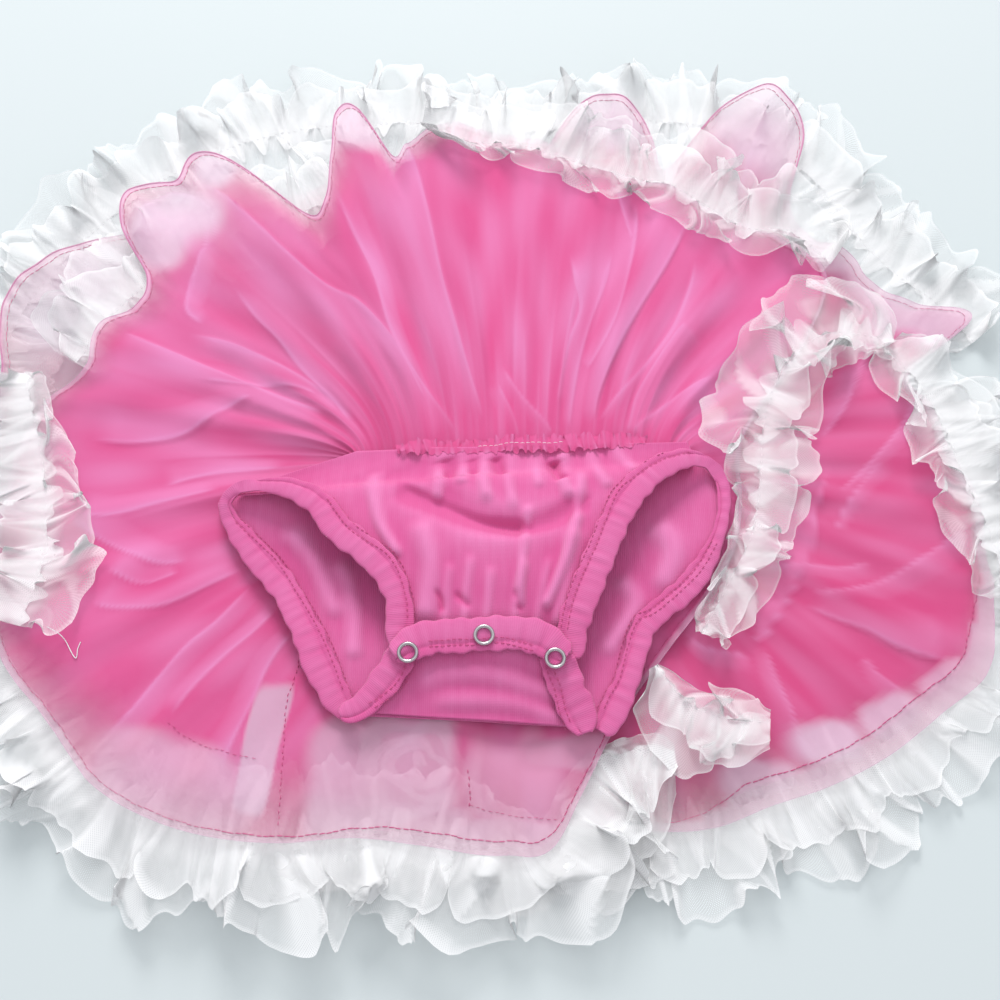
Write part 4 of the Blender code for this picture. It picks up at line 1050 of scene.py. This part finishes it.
# ---- Bodice and rosette ----------------------------------------------------------------
def make_bodice(name):
    """A tank-top panel: its outline filled with a knitted shell with soft edges."""
    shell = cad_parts[name].data.copy()
    shell.name = name + "_knit"
    shell.materials.clear()
    shell.materials.append(KNIT)
    piece = placed_in_scene(name + "_knit", shell)
    bevel = piece.modifiers.new("soft_edge", "BEVEL")
    bevel.width, bevel.segments, bevel.limit_method = 0.0006, 2, "ANGLE"
    points = np.array([v.co for v in shell.vertices]) / MM
    layer = shell.uv_layers.get("cloth") or shell.uv_layers.new(name="cloth")
    for loop in shell.loops:
        layer.data[loop.index].uv = points[loop.vertex_index][:2]
    PILE.add(raised_to(np.array(BODICE_EDGES, float), np.full((2, 3), BODICE_TOP)), 60)
    keep(piece, "knit_pink", name)


def box_of(name):
    """A node's box in mm: its middle in plan, half its width, its bottom and its top."""
    low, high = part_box(name)
    centre = [(a + b) / 2 / MM + c for a, b, c in zip(low, high, PART_CENTRE)]
    return centre, (high.x - low.x) / 2 / MM, low.z / MM, high.z / MM


def make_rosette():
    """Net petals wound in a spiral, low at the rim and standing in the middle."""
    centre, radius, bottom, top = box_of("rosette")
    count, rows, winds = 640, 10, 4.6
    turn = np.linspace(0.3, winds * 2 * math.pi, count)[:, None]
    share = turn / turn[-1]
    reach = radius * 0.93 * share ** 0.75
    reach = reach * (1.0 + 0.20 * wavy(turn * 10.0, 61, (37.0, 23.0, 15.0)))
    lobes = 0.5 + 0.5 * np.sin(turn * 2.35 + 3.0 * share) * np.cos(turn * 0.77 + 1.0)
    rise = np.linspace(0.0, 1.0, rows)
    lean = (0.15 + 0.75 * share) * rise * 7.0
    out = np.minimum(reach - 3.0 + lean + 5.0 * lobes * rise, radius * 0.99)
    lift = (top - bottom - 0.4) * (1.0 - 0.5 * share ** 1.5) * (0.7 + 0.3 * lobes)
    heights = bottom + 0.2 + lift * np.sin(rise * math.pi / 2.0) ** 0.8
    points = ring_points(centre, turn, out, heights)
    cloth = pairs(turn * reach.clip(3.0), rise * 12.0)
    cover = 0.8 * seen_through(points, np.full((count, rows), 0.40))
    PILE.add(points)
    piece = cloth_piece("rosette_net", points, NET, {"cloth": cloth}, {"cover": cover})
    keep(piece, "net_white", "rosette")


# ---- Skirts ----------------------------------------------------------------------------
def gathers(angles, shares, seed):
    """Small pleats that leave the waist and fade outwards, uneven in depth and length: their
    heights and their tones, lighter on one side of each pleat, partly the doubled cloth and
    partly a painted highlight."""
    source = np.random.default_rng(seed)
    heights = np.zeros((len(angles), len(shares)))
    tones = np.zeros_like(heights)
    angle = source.uniform(0, 4)
    while angle < 360:
        half = source.uniform(1.1, 2.8)
        reach = source.uniform(0.2, 0.8)
        high = source.uniform(0.3, 1.2)
        bend = source.uniform(-6, 6)
        crisp = source.choice([-1.0, 1.0])
        centre = angle + bend * shares ** 1.5
        offset = (np.mod(angles[:, None] - centre + 180.0, 360.0) - 180.0) / half
        fade = ease((reach - shares) / reach * 1.4)
        heights += high * np.exp(-(offset / 0.6) ** 2) * fade
        into = offset * crisp
        band = np.clip(1.0 - np.where(into >= 0, into / 1.5, -into / 0.35), 0, 1)
        tones = np.maximum(tones, source.uniform(0.25, 0.7) * band * fade)
        angle += source.uniform(2.0, 5.5)
    return heights, tones


def patches(plan, table, cloudy, cover):
    """The cover of a skirt with its paler patches, and how pale they look."""
    pale = np.zeros_like(cover)
    for x0, y0, half_x, half_y, turn, share, paleness, soft in table:
        c, d = math.cos(math.radians(turn)), math.sin(math.radians(turn))
        right, up = plan[..., 0] - x0, plan[..., 1] - y0
        square = 2.6 + 12.0 * (0.62 - soft)
        away = (np.abs((right * c + up * d) / half_x) ** square
                + np.abs((up * c - right * d) / half_y) ** square) ** (1.0 / square)
        inside = 1.0 - ease((away + 0.26 * soft * cloudy - 0.97) / soft + 0.5)
        cover = np.where(cover > share, cover + (share - cover) * inside, cover)
        pale = np.maximum(pale, inside * paleness)
    return cover, pale


def make_skirt(label):
    """One skirt, laid all round in one go and split at its side seams."""
    columns, rows, seed = SKIRT_GRID[label]
    angles = np.linspace(0.0, 360.0, columns, endpoint=False)
    shares = np.linspace(0.0, 1.0, rows)
    reach = through(*np.array(HEM[label], float).T, angles, period=360.0)
    reaches = WAIST_REACH + (reach[:, None] - WAIST_REACH) * shares
    plan = pairs(*fan(angles[:, None], reaches))
    heights = Solid(f"skirt_{label}_front", f"skirt_{label}_back").middle(plan)
    heights = soften(heights, 1.3 * (columns / 360.0), rows * 0.03, wrap=True)
    creased, tone = crease_heights(plan, CREASES[label])
    pleated, pleat_tone = gathers(angles, shares, seed)
    heights = heights + creased * 0.30 + pleated * 0.7
    cloudy = drifts(angles[:, None], reaches, seed + 2, [(24.0, 90.0), (11.0, 70.0), (6.0, 120.0)])
    # Painted shade: the chiffon is drawn deeper on the side away from the bodice, where the
    # window's light falls off; the crease and pleat tones add a painted highlight to the paler
    # doubled cloth, and the drifts are the cloth's own uneven tone.
    painted_bottom_shade = ease((-10.0 - plan[..., 1]) / 60.0)
    painted_light_and_tone = 0.24 - 0.14 * painted_bottom_shade + 0.76 * np.maximum(tone, pleat_tone) + 0.20 * cloudy
    # Painted shade: deeper still close to the waist, among the crowded gathers.
    painted_light_and_tone = painted_light_and_tone - (0.20 + 0.45 * painted_light_and_tone) * np.exp(-(shares / 0.19) ** 2)
    painted_light_and_tone = np.clip(painted_light_and_tone, 0.0, 1.0)
    heights = lift_clear(plan, heights, SKIRT_GAP, (4, 3), wrap=True)
    # The turned hem rolls a little and ripples.
    ripple = wavy(angles * 3.5, seed + 1)[:, None] * ease((shares - 0.86) / 0.14)
    heights = heights + ripple * 1.2 + 0.9 * ease((shares - 0.9) / 0.1)
    points = raised_to(plan, np.maximum(heights, OVER_TABLE))
    PILE.add(np.concatenate([points, points[:1]]))

    to_hem = reach[:, None] - reaches
    main, at_hem, zone = (column[:, None] for column in around_fan(COVER[label], angles))
    cover = at_hem + (main - at_hem) * ease(to_hem / zone)
    cover, pale = patches(plan, PALE[label], cloudy, cover)
    cover = cover + 0.12 * painted_light_and_tone * (1.0 - cover)
    # Beyond the row of stitches lies the turned hem, plainly double where it is thick.
    [allowance] = around_fan(HEM_ALLOWANCE[label], angles)
    thick, thread = around_fan(HEM_SHOWS[label], angles)
    beyond = 1.0 - ease((to_hem - allowance[:, None] + 1.4) / 0.8)
    folded = ease((thick - 0.22) / 0.16)[:, None]
    cover = cover * (1.0 - 0.30 * beyond * (1.0 - folded))
    cover = cover + 0.42 * (1.0 - cover) * beyond * folded
    painted_light_and_tone = np.maximum(painted_light_and_tone, 0.75 * beyond * folded)
    pale = np.maximum(pale * (1.0 - 0.6 * beyond * folded), (0.50 - 0.20 * folded) * beyond)
    row = np.clip(1.0 - allowance / (reach - WAIST_REACH), 0, 1) * (rows - 1)
    low = np.floor(row).astype(int).clip(0, rows - 2)
    t, k = (row - low)[:, None], np.arange(columns)
    line = points[k, low] * (1 - t) + points[k, low + 1] * t + (0.0, 0.0, 0.25)
    values = {"cover": seen_through(points, cover), "painted_light_and_tone": painted_light_and_tone, "pale": pale}
    half = columns // 2
    for side, start in (("front", 0), ("back", half)):
        pick = np.arange(start, start + half + 1) % columns
        fan_map = pairs(angles[pick][:, None], reaches[pick])
        if side == "back":
            fan_map[-1, :, 0] = 360.0
        skirt = f"skirt_{label}_{side}"
        # The outer skirt takes the darker chiffon, with its shade painted into the colour.
        piece = cloth_piece(
            skirt + "_chiffon", points[pick], CHIFFON_PAINTED_SHADE if label == "outer" else CHIFFON,
            {"fan": fan_map, "cloth": plan[pick]}, {k: v[pick] for k, v in values.items()})
        keep(piece, "chiffon_pink", skirt)
        edge = even_line(np.column_stack([points[pick, -1], thick[pick]]), HEM_STEP)
        at, faces = tube(edge[:, :3], edge[:, 3], HEM_SIDES)
        faint = 1.0 - ease((np.repeat(edge[:, 3], HEM_SIDES) - 0.2) / 0.15)
        rolled = {"cover": 0.55 - 0.3 * faint, "painted_light_and_tone": np.full(len(at), 0.6),
                  "pale": 0.2 + 0.6 * faint}
        keep(make_object(skirt + "_hem", at, faces, CHIFFON,
                         {"fan": at[:, :2], "cloth": at[:, :2]}, rolled), "chiffon_pink")
        dashes = stitches(np.column_stack([line[pick], thread[pick]]), *STITCHES["hem"])
        keep(joined(skirt + "_stitches", dashes, SEWING), "chiffon_pink")


# ---- Ruffles ---------------------------------------------------------------------------
# Share covered where the net is gathered by its stitches, and where it lies double.
GATHERED_COVER, DOUBLED_COVER = 0.58, 0.84


def uneven_turns(along, pitch, seed):
    """A whole turn for each wave along a strip, the waves uneven in length."""
    rate = 1.0 / (pitch * np.exp(0.55 * wavy(along, seed, (127.0, 71.0, 43.0))))
    return summed(0.5 * (rate[1:] + rate[:-1]) * np.diff(along)) * 2.0 * math.pi


def without_waves(name, plan, along, inwards, away):
    """A ruffle solid's resting form over a plan, without its plain waves."""
    length = along[-1]
    waves = round(length / RUFFLE_WAVE)
    knots = np.linspace(0.0, length, max(2, round(length / (RUFFLE_WAVE / 4.0))) + 1)
    wave = 0.5 - 0.5 * np.cos(knots / length * waves * 2.0 * math.pi)
    swell = 1.0 - SWELL * (0.5 - 0.5 * np.sin(knots / SWELL_LENGTH + 1.0))
    inner, outer = (np.interp(along, knots, high * wave * swell)[:, None]
                    for high in RUFFLES[name][1:3])
    middle = np.interp(along, knots, wave)[:, None]
    solid_wave = middle * (1 - away) + np.where(inwards, inner, outer) * away
    return soften(Solid(name).middle(plan) - solid_wave, 9.0, 1.5)


def ruffle_strip(name, label):
    """One layer of a ruffle: a gathered net strip whose free edges run in wide soft lobes, with
    narrow folds between them that are drawn in, stand up and lean over.  Returns the line on
    which it is gathered."""
    seed, inner_wave, outer_wave, table = RUFFLES[name]
    seed_step, pitch, reach, rows, cover, gap, drawn_in, step = LAYERS[label]
    points, along = path_through(table, step)
    side = right_side(points)
    ahead = np.stack([-side[:, 1], side[:, 0]], axis=1)
    from_end = from_ends(along)[:, None]
    across = np.concatenate([-np.linspace(reach[0], 0.0, rows[0])[:-1],
                             np.linspace(0.0, reach[1], rows[1])])
    away, inwards = np.abs(across)[None, :], across[None, :] < 0

    def uneven(n, *pitches):
        return wavy(along, seed + seed_step + n, pitches)[:, None]

    width = np.where(inwards, points[:, 2:3], points[:, 3:4]) * across
    width = width * (0.3 + 0.7 * ease(0.25 + from_end / 16.0))
    if label == "net_upper":
        header = np.clip(0.40 + 0.9 * uneven(18, 31.0, 19.0, 11.0), 0.03, 1.0)
        width = np.where(inwards, width * header, width)
    rest = without_waves(name, strip_plan(points, side, width), along, inwards, away)

    # Folds swing sideways on their way out, lean one way or the other and differ in size.
    turn = uneven_turns(along, pitch, seed + seed_step)
    local = np.gradient(along) / np.maximum(np.gradient(turn), 1e-6) * 2.0 * math.pi
    lean = np.tanh(3.0 * uneven(1, 97.0, 61.0))
    size = 1.0 + 0.42 * uneven(2, 61.0, 37.0)
    bend = np.where(inwards, 2.2 + 1.3 * uneven(9, 67.0, 39.0), 1.2 * uneven(8, 71.0, 43.0))
    phase = turn[:, None] + bend * away ** 1.5
    drawn = (0.5 + 0.5 * np.cos(phase)) ** np.exp(0.7 * uneven(16, 83.0, 59.0))
    tip = 0.5 + 0.5 * np.cos(phase - 1.15 * lean)
    flutes = np.sin(2.0 * phase + 2.4 * uneven(6, 47.0, 29.0))
    grow = away ** 1.1
    high = np.where(inwards, inner_wave, outer_wave)
    lift = high * size * (0.92 * tip ** 1.15 + 0.10 * (flutes + 1.0) * drawn) * grow
    pleats = uneven(3, 6.7, 4.9, 9.3)
    lift = lift + 1.8 * (0.5 + 0.5 * pleats) * (1.0 - away) ** 0.9
    crumple = uneven(4, 13.0, 8.5) * away * (1.15 - away) * 2.2
    # Flat bands of doubled net run out from the stitches, with a crisp edge on each side.
    swing = 0.9 * uneven(14, 53.0, 31.0) * away ** 1.4
    bands = uneven_turns(along, 19.0, seed + seed_step + 13)[:, None] / (2 * math.pi)
    fold = np.mod(bands + swing, 1.0)
    doubled = ease(fold / 0.07) * (1.0 - ease((fold - 0.34) / 0.10))
    doubled = doubled * np.clip(0.50 + 0.9 * uneven(15, 29.0, 17.0), 0.0, 1.0)
    heights = rest + np.clip(lift + crumple + 0.8 * doubled * away, 0.0, None)

    roomy = np.where(inwards, np.minimum(1.0, inner_wave / 8.0), 1.0)
    slip = -local[:, None] * (0.11 + 0.15 * np.abs(lean)) * np.sin(phase) * size.clip(0.6, 1.25)
    slip = (slip + 6.0 * uneven(7, 89.0, 58.0)) * roomy * grow * ease(from_end / 12.0)
    out = (1.01 + 0.14 * uneven(5, 57.0, 33.0, 19.0) + 0.035 * uneven(17, 8.3, 5.7)
           - drawn_in * size * drawn * roomy + 0.05 * flutes + 0.07 * doubled)
    out = 1.0 + (out - 1.0) * away ** 0.8
    placed = strip_plan(points, side, width * out) + ahead[:, None, :] * slip[..., None]
    floor = blur(widest(PILE.over(placed), 2, 0), 1.5, 0) + gap
    grid = raised_to(placed, np.maximum(np.maximum(heights, floor), OVER_TABLE))

    # Gathers lie thickly by the stitches, and the cut edge shows as a line.
    thick = (1.0 - ease((away - 0.04) / (0.30 + 0.40 * drawn))) * (0.75 + 0.25 * pleats)
    share = cover + (GATHERED_COVER - cover) * thick
    share = share + 0.22 * ease((away / max(reach) - 0.965) / 0.035)
    ridges = np.clip(uneven(12, 9.7, 6.1, 15.0), 0.0, 1.0) ** 1.6
    share = share + 0.22 * ridges * (1.0 - 0.45 * away) * (0.4 + 0.6 * drawn)
    share = share + (DOUBLED_COVER - share) * doubled * (0.80 - 0.25 * away)
    share = seen_through(grid, share * SPARSE.get(name, 1.0))
    cut = summed(np.linalg.norm(np.diff(grid[:, -1], axis=0), axis=1))[:, None]
    piece = cloth_piece(f"{name}_{label}", grid, NET, {"cloth": pairs(cut, width * 1.05)},
                        {"cover": share})
    keep(piece, "net_white", *([name] if label == "net" else []))
    PILE.add(grid, 2)
    return grid[:, rows[0] - 1]


def make_ruffle(name):
    """A double ruffle: a wide strip and a narrower one gathered on the same line."""
    for label in LAYERS:
        line = ruffle_strip(name, label)
    thread = stitches(line + (0.0, 0.0, 0.12), *STITCHES["gathering"])
    keep(joined(name + "_gathering", thread, SEWING_WHITE), "net_white")


# ---- Brief -----------------------------------------------------------------------------
def keep_knit(name, grid, material, cloth, painted_light_and_tone, wall):
    """Lays a knitted shell on the pile."""
    PILE.add(grid + (0.0, 0.0, wall / 2.0))
    piece = cloth_piece(name + "_knit", grid, material, {"cloth": cloth}, {"painted_light_and_tone": painted_light_and_tone}, wall)
    keep(piece, "knit_pink", name)


def make_panel(name):
    """A knitted panel on its solid's form, with its soft creases."""
    sections = np.asarray(PANELS[name], float)
    last = len(sections) - 1
    ends = through(np.arange(last + 1), sections, np.linspace(0, last, PANEL_ROWS[name]))
    left, right = ends[:, None, 0:2], ends[:, None, 2:4]
    plan = left + (right - left) * np.linspace(0.0, 1.0, PANEL_COLUMNS)[None, :, None]
    heights = soften(Solid(name).middle(plan), 3.0)
    creased, tone = crease_heights(plan, KNIT_CREASES[name], taper=0.3)
    creased = soften(creased, 1.1)
    heights = lift_clear(plan, heights + creased * 1.25, PANEL_WALL / 2.0 + PANEL_GAP)
    # Painted shade and light: hollows and tucks are drawn darker, and ridges and creases lighter.
    painted_relief_shade = heights - soften(heights, 7.0)
    painted_light_and_tone = np.clip(0.3 + 0.40 * painted_relief_shade + 0.10 * soften(tone, 1.5)
                     + 0.08 * np.minimum(creased, 0.0), 0.0, 1.0)
    keep_knit(name, raised_to(plan, heights), KNIT, plan, painted_light_and_tone, PANEL_WALL)


def make_band(name):
    """A folded knitted binding: a puffed roll at its free edge and a flat sewn strip beside
    it, with small puckers between the stitches."""
    seed, start, end, table = BANDS[name]
    points, along = path_through(table, BAND_STEP)
    across = np.linspace(-1.0, 1.0, BAND_COLUMNS)
    round_end = np.clip(from_ends(along) / points[:, 2] + 0.12, 0.0, 1.0)
    half = points[:, 2] * np.sqrt(1.0 - (1.0 - round_end) ** 2)
    half = (half * (1.0 + 0.07 * wavy(along, seed + 40, (17.0, 9.0))))[:, None]
    plan = strip_plan(points, right_side(points), half * across)
    heights = soften(Solid(name).middle(plan), 6.0, 1.5)
    turned = (start + (end - start) * ease((along / along[-1] - 0.42) / 0.12))[:, None]
    free = across * turned
    roll = np.sqrt(np.clip(1.0 - ((free - 0.28) / 0.72) ** 2, 0.0, 1.0))
    strip = 0.30 * ease((0.98 + free) / 0.1) * (1.0 - ease((free + 0.5) / 0.15))
    groove = np.exp(-((free + 0.47) / 0.10) ** 2) * np.abs(turned)
    puff = 0.85 * roll + strip - 0.4 * groove
    pucker = wavy(along, seed, (6.5, 4.3, 9.0))[:, None] * (1.0 - across ** 2)
    heights = heights + puff + 0.20 * pucker
    heights = lift_clear(plan, heights, BAND_WALL / 2.0 + BAND_GAP, (2, 1))
    # Painted light and shade: the roll and the puckers' crests are drawn lighter, their dips
    # darker.
    painted_light_and_tone = np.clip(0.16 + 0.26 * roll + 0.10 * pucker, 0, 1)
    keep_knit(name, raised_to(plan, heights), BINDING, pairs(along[:, None], half * across),
              painted_light_and_tone, BAND_WALL)


def make_frill():
    """The gathered top edge of the skirts, a narrow strip of fine uneven pleats."""
    points, along = path_through(WAIST_FRILL, FRILL_STEP)
    side = right_side(points)
    ahead = np.stack([-side[:, 1], side[:, 0]], axis=1)
    across = np.linspace(-1.0, 1.0, FRILL_COLUMNS)

    def uneven(seed, *pitches):
        return wavy(along, seed, pitches)[:, None]

    half = points[:, 2:3] * (0.45 + 0.55 * ease(from_ends(along) / 14.0))[:, None]
    plan = strip_plan(points, side, half * across)
    rest = blur(Solid("waist_frill").middle(plan), 14.0, 0)
    fold = (uneven(71, 4.1, 6.3, 2.9) * (0.5 - 0.5 * across)
            + uneven(74, 3.3, 5.1, 2.3) * (0.5 + 0.5 * across))
    fold = fold * (0.35 + 0.75 * np.abs(across))
    lean = uneven(72, 5.2, 3.7) * across * 0.8
    out = 1.0 + 0.30 * uneven(73, 9.0, 5.0, 2.6) * np.abs(across)
    placed = plan + ahead[:, None, :] * lean[..., None]
    placed = placed + side[:, None, :] * (half * across * (out - 1.0))[..., None]
    grid = raised_to(placed, np.maximum(rest + 1.3 * fold, PILE.over(placed) + FRILL_GAP))
    PILE.add(grid)
    cloth = pairs(along[:, None] * 1.8, across * 4.0)
    # Painted light and shade: the frill's higher folds are drawn lighter, its lower ones darker.
    piece = cloth_piece(
        "waist_frill_chiffon", grid, CHIFFON, {"cloth": cloth, "fan": cloth},
        {"cover": np.full(fold.shape, 0.85), "painted_light_and_tone": np.clip(0.10 + 0.4 * fold, 0, 1)})
    keep(piece, "chiffon_pink", "waist_frill")
    line = blur(grid[:, 5], 6.0, 0) + (0.0, 0.0, 1.0)
    line = line[(line[:, 0] > -30.0) & (line[:, 0] < 22.0)]
    sewn = joined("waist_stitches", stitches(line, *STITCHES["waist"]), SEWING_WHITE)
    keep(sewn, "chiffon_pink")


def on_pile(line, lift=0.25):
    """A plan line laid on the pile as a 3-D line."""
    fine = through(np.arange(len(line)), np.asarray(line, float),
                   np.linspace(0, len(line) - 1, 24 * len(line)))
    heights = blur(PILE.over(fine)[:, None], 3.0, 0)[:, 0]
    return np.column_stack([fine, heights + lift])


def make_snap(name):
    """An open ring snap: a turned rim round a cup that shows the cloth inside."""
    centre, _, bottom, top = box_of(name)
    reach, rise = np.array(SNAP_SECTION).T
    turns = np.linspace(0, 2 * math.pi, 72, endpoint=False)[:, None]
    points = ring_points(centre, turns, reach, (bottom + top) / 2.0 + rise)
    faces = grid_faces(*points.shape[:2], closed_i=True)
    keep(make_object(name + "_ring", points.reshape(-1, 3), faces, METAL), "snap_metal", name)


# ---- Everything, from the table upwards ------------------------------------------------
def build():
    def each(make, *names):
        for name in names:
            make(name)

    each(make_bodice, "bodice_back", "bodice_front")
    each(make_ruffle, "ruffle_outer_back", "ruffle_outer_front")
    make_skirt("outer")
    make_rosette()
    each(make_ruffle, "ruffle_inner_back", "ruffle_inner_front_left")
    make_skirt("inner")
    seams = [part for radius, line in SKIRT_SEAMS
             for part in stitches(on_pile(line), *STITCHES["seam"], radius)]
    keep(joined("skirt_seam_stitches", seams, SEWING), "chiffon_pink")
    each(make_ruffle, "ruffle_inner_front_right", "ruffle_inner_left", "ruffle_outer_side")
    each(make_panel, "brief_back", "brief_front")
    each(make_band, "leg_band_left", "leg_band_right")
    make_panel("crotch_flap")
    each(make_band, "flap_band_left", "flap_band_right", "snap_placket")
    make_frill()
    rows = []
    for spacing, line in STITCH_ROWS:
        line = np.asarray(line, float)
        for shift in (-spacing / 2.0, spacing / 2.0):
            rows += stitches(on_pile(line + right_side(line) * shift), *STITCHES["brief"])
    keep(joined("brief_stitches", rows, SEWING), "knit_pink")
    each(make_ruffle, "ruffle_inner_side", "ruffle_inner_tail")
    keep(joined("loose_thread", [tube(on_pile(LOOSE_THREAD), 0.22)], SEWING_WHITE), "net_white")
    each(make_snap, *SNAPS)


build()


def declare(name, width, length, area, held, rests_on):
    """Works out what is sewn on one cloth and keeps none of it; how large it was cut is not used.
    """
    sewn = ON_SHEETS.get(name, "").split()
    if name.startswith("skirt"):
        sewn = [name.replace("chiffon", part) for part in ("hem", "stitches")] + sewn
    if name.endswith("_net_upper"):
        sewn = [name.replace("_net_upper", "_gathering")]


for cloth, (wide, long, *rest, below) in SHEETS.items():
    if cloth in RUFFLES:
        declare(cloth + "_net", wide, long, None, "gathered", below)
        declare(cloth + "_net_upper", *rest, None, "gathered", cloth)
    else:
        declare(cloth, wide, long, *rest, below)


# ---- Table, light and camera -----------------------------------------------------------
# Round lamps: place and size in metres, power in watts and colour.
LAMPS = {
    "window": ((-0.2, 2.2, 1.5), 1.2, 54.0, (1.0, 0.99, 0.98)),
    "ceiling": ((0.1, 0.1, 1.7), 1.4, 3.5, (0.98, 0.99, 1.0)),
}
SKY_STRENGTH = 0.69
TABLE_HALF, TABLE_HEIGHT = 4, -0.0002
CORNERS = ((-1, -1), (1, -1), (1, 1), (-1, 1))
CAMERA_PLACE, CAMERA_AIM = (0.0092, -0.2278, 0.5638), (0.0092, -0.0226, 0.0)
CAMERA_LENS, CAMERA_SENSOR = 45.0, 36.0


def aimed(name, data, place, aim=(0.0, 0.0, 0.0)):
    """An object at a place that looks at a point."""
    holder = placed_in_scene(name, data)
    holder.location = place
    holder.rotation_euler = (Vector(aim) - Vector(place)).to_track_quat("-Z", "Y").to_euler()
    return holder


def studio():
    """A pale table, a large soft light beyond the bodice and an even sky."""
    mesh = bpy.data.meshes.new("table_top")
    corners = [(x * TABLE_HALF, y * TABLE_HALF, 0) for x, y in CORNERS]
    mesh.from_pydata(corners, [], [(0, 1, 2, 3)])
    table = placed_in_scene("table_top", mesh)
    paint = Paint("table_paint")
    cloud = paint.noise(paint.inside(), 1.5, 2.0)
    mesh.materials.append(paint.finish(paint.principled({
        "Base Color": paint.mix(cloud, rgba(TABLE), rgba(TABLE_LIGHT)), "Roughness": 0.6,
        "Specular IOR Level": 0.2})))
    table.location.z = TABLE_HEIGHT

    world = bpy.data.worlds.new("sky")
    bpy.context.scene.world = world
    world.use_nodes = True
    sky = world.node_tree.nodes["Background"].inputs
    sky[0].default_value, sky[1].default_value = rgba(SKY), SKY_STRENGTH

    for name, (place, size, power, colour) in LAMPS.items():
        lamp = bpy.data.lights.new(name, "AREA")
        lamp.shape, lamp.size, lamp.energy, lamp.color = "DISK", size, power, colour
        aimed(name, lamp, place)


def camera():
    """The viewing angle: from the snaps' side, 70 degrees up."""
    lens = bpy.data.cameras.new("camera")
    lens.lens, lens.sensor_width = CAMERA_LENS, CAMERA_SENSOR
    bpy.context.scene.camera = aimed("camera", lens, CAMERA_PLACE, CAMERA_AIM)


studio()
camera()
bpy.context.scene.view_settings.view_transform = "Standard"
cycles = bpy.context.scene.cycles
cycles.transparent_max_bounces, cycles.max_bounces, cycles.diffuse_bounces = 32, 4, 2
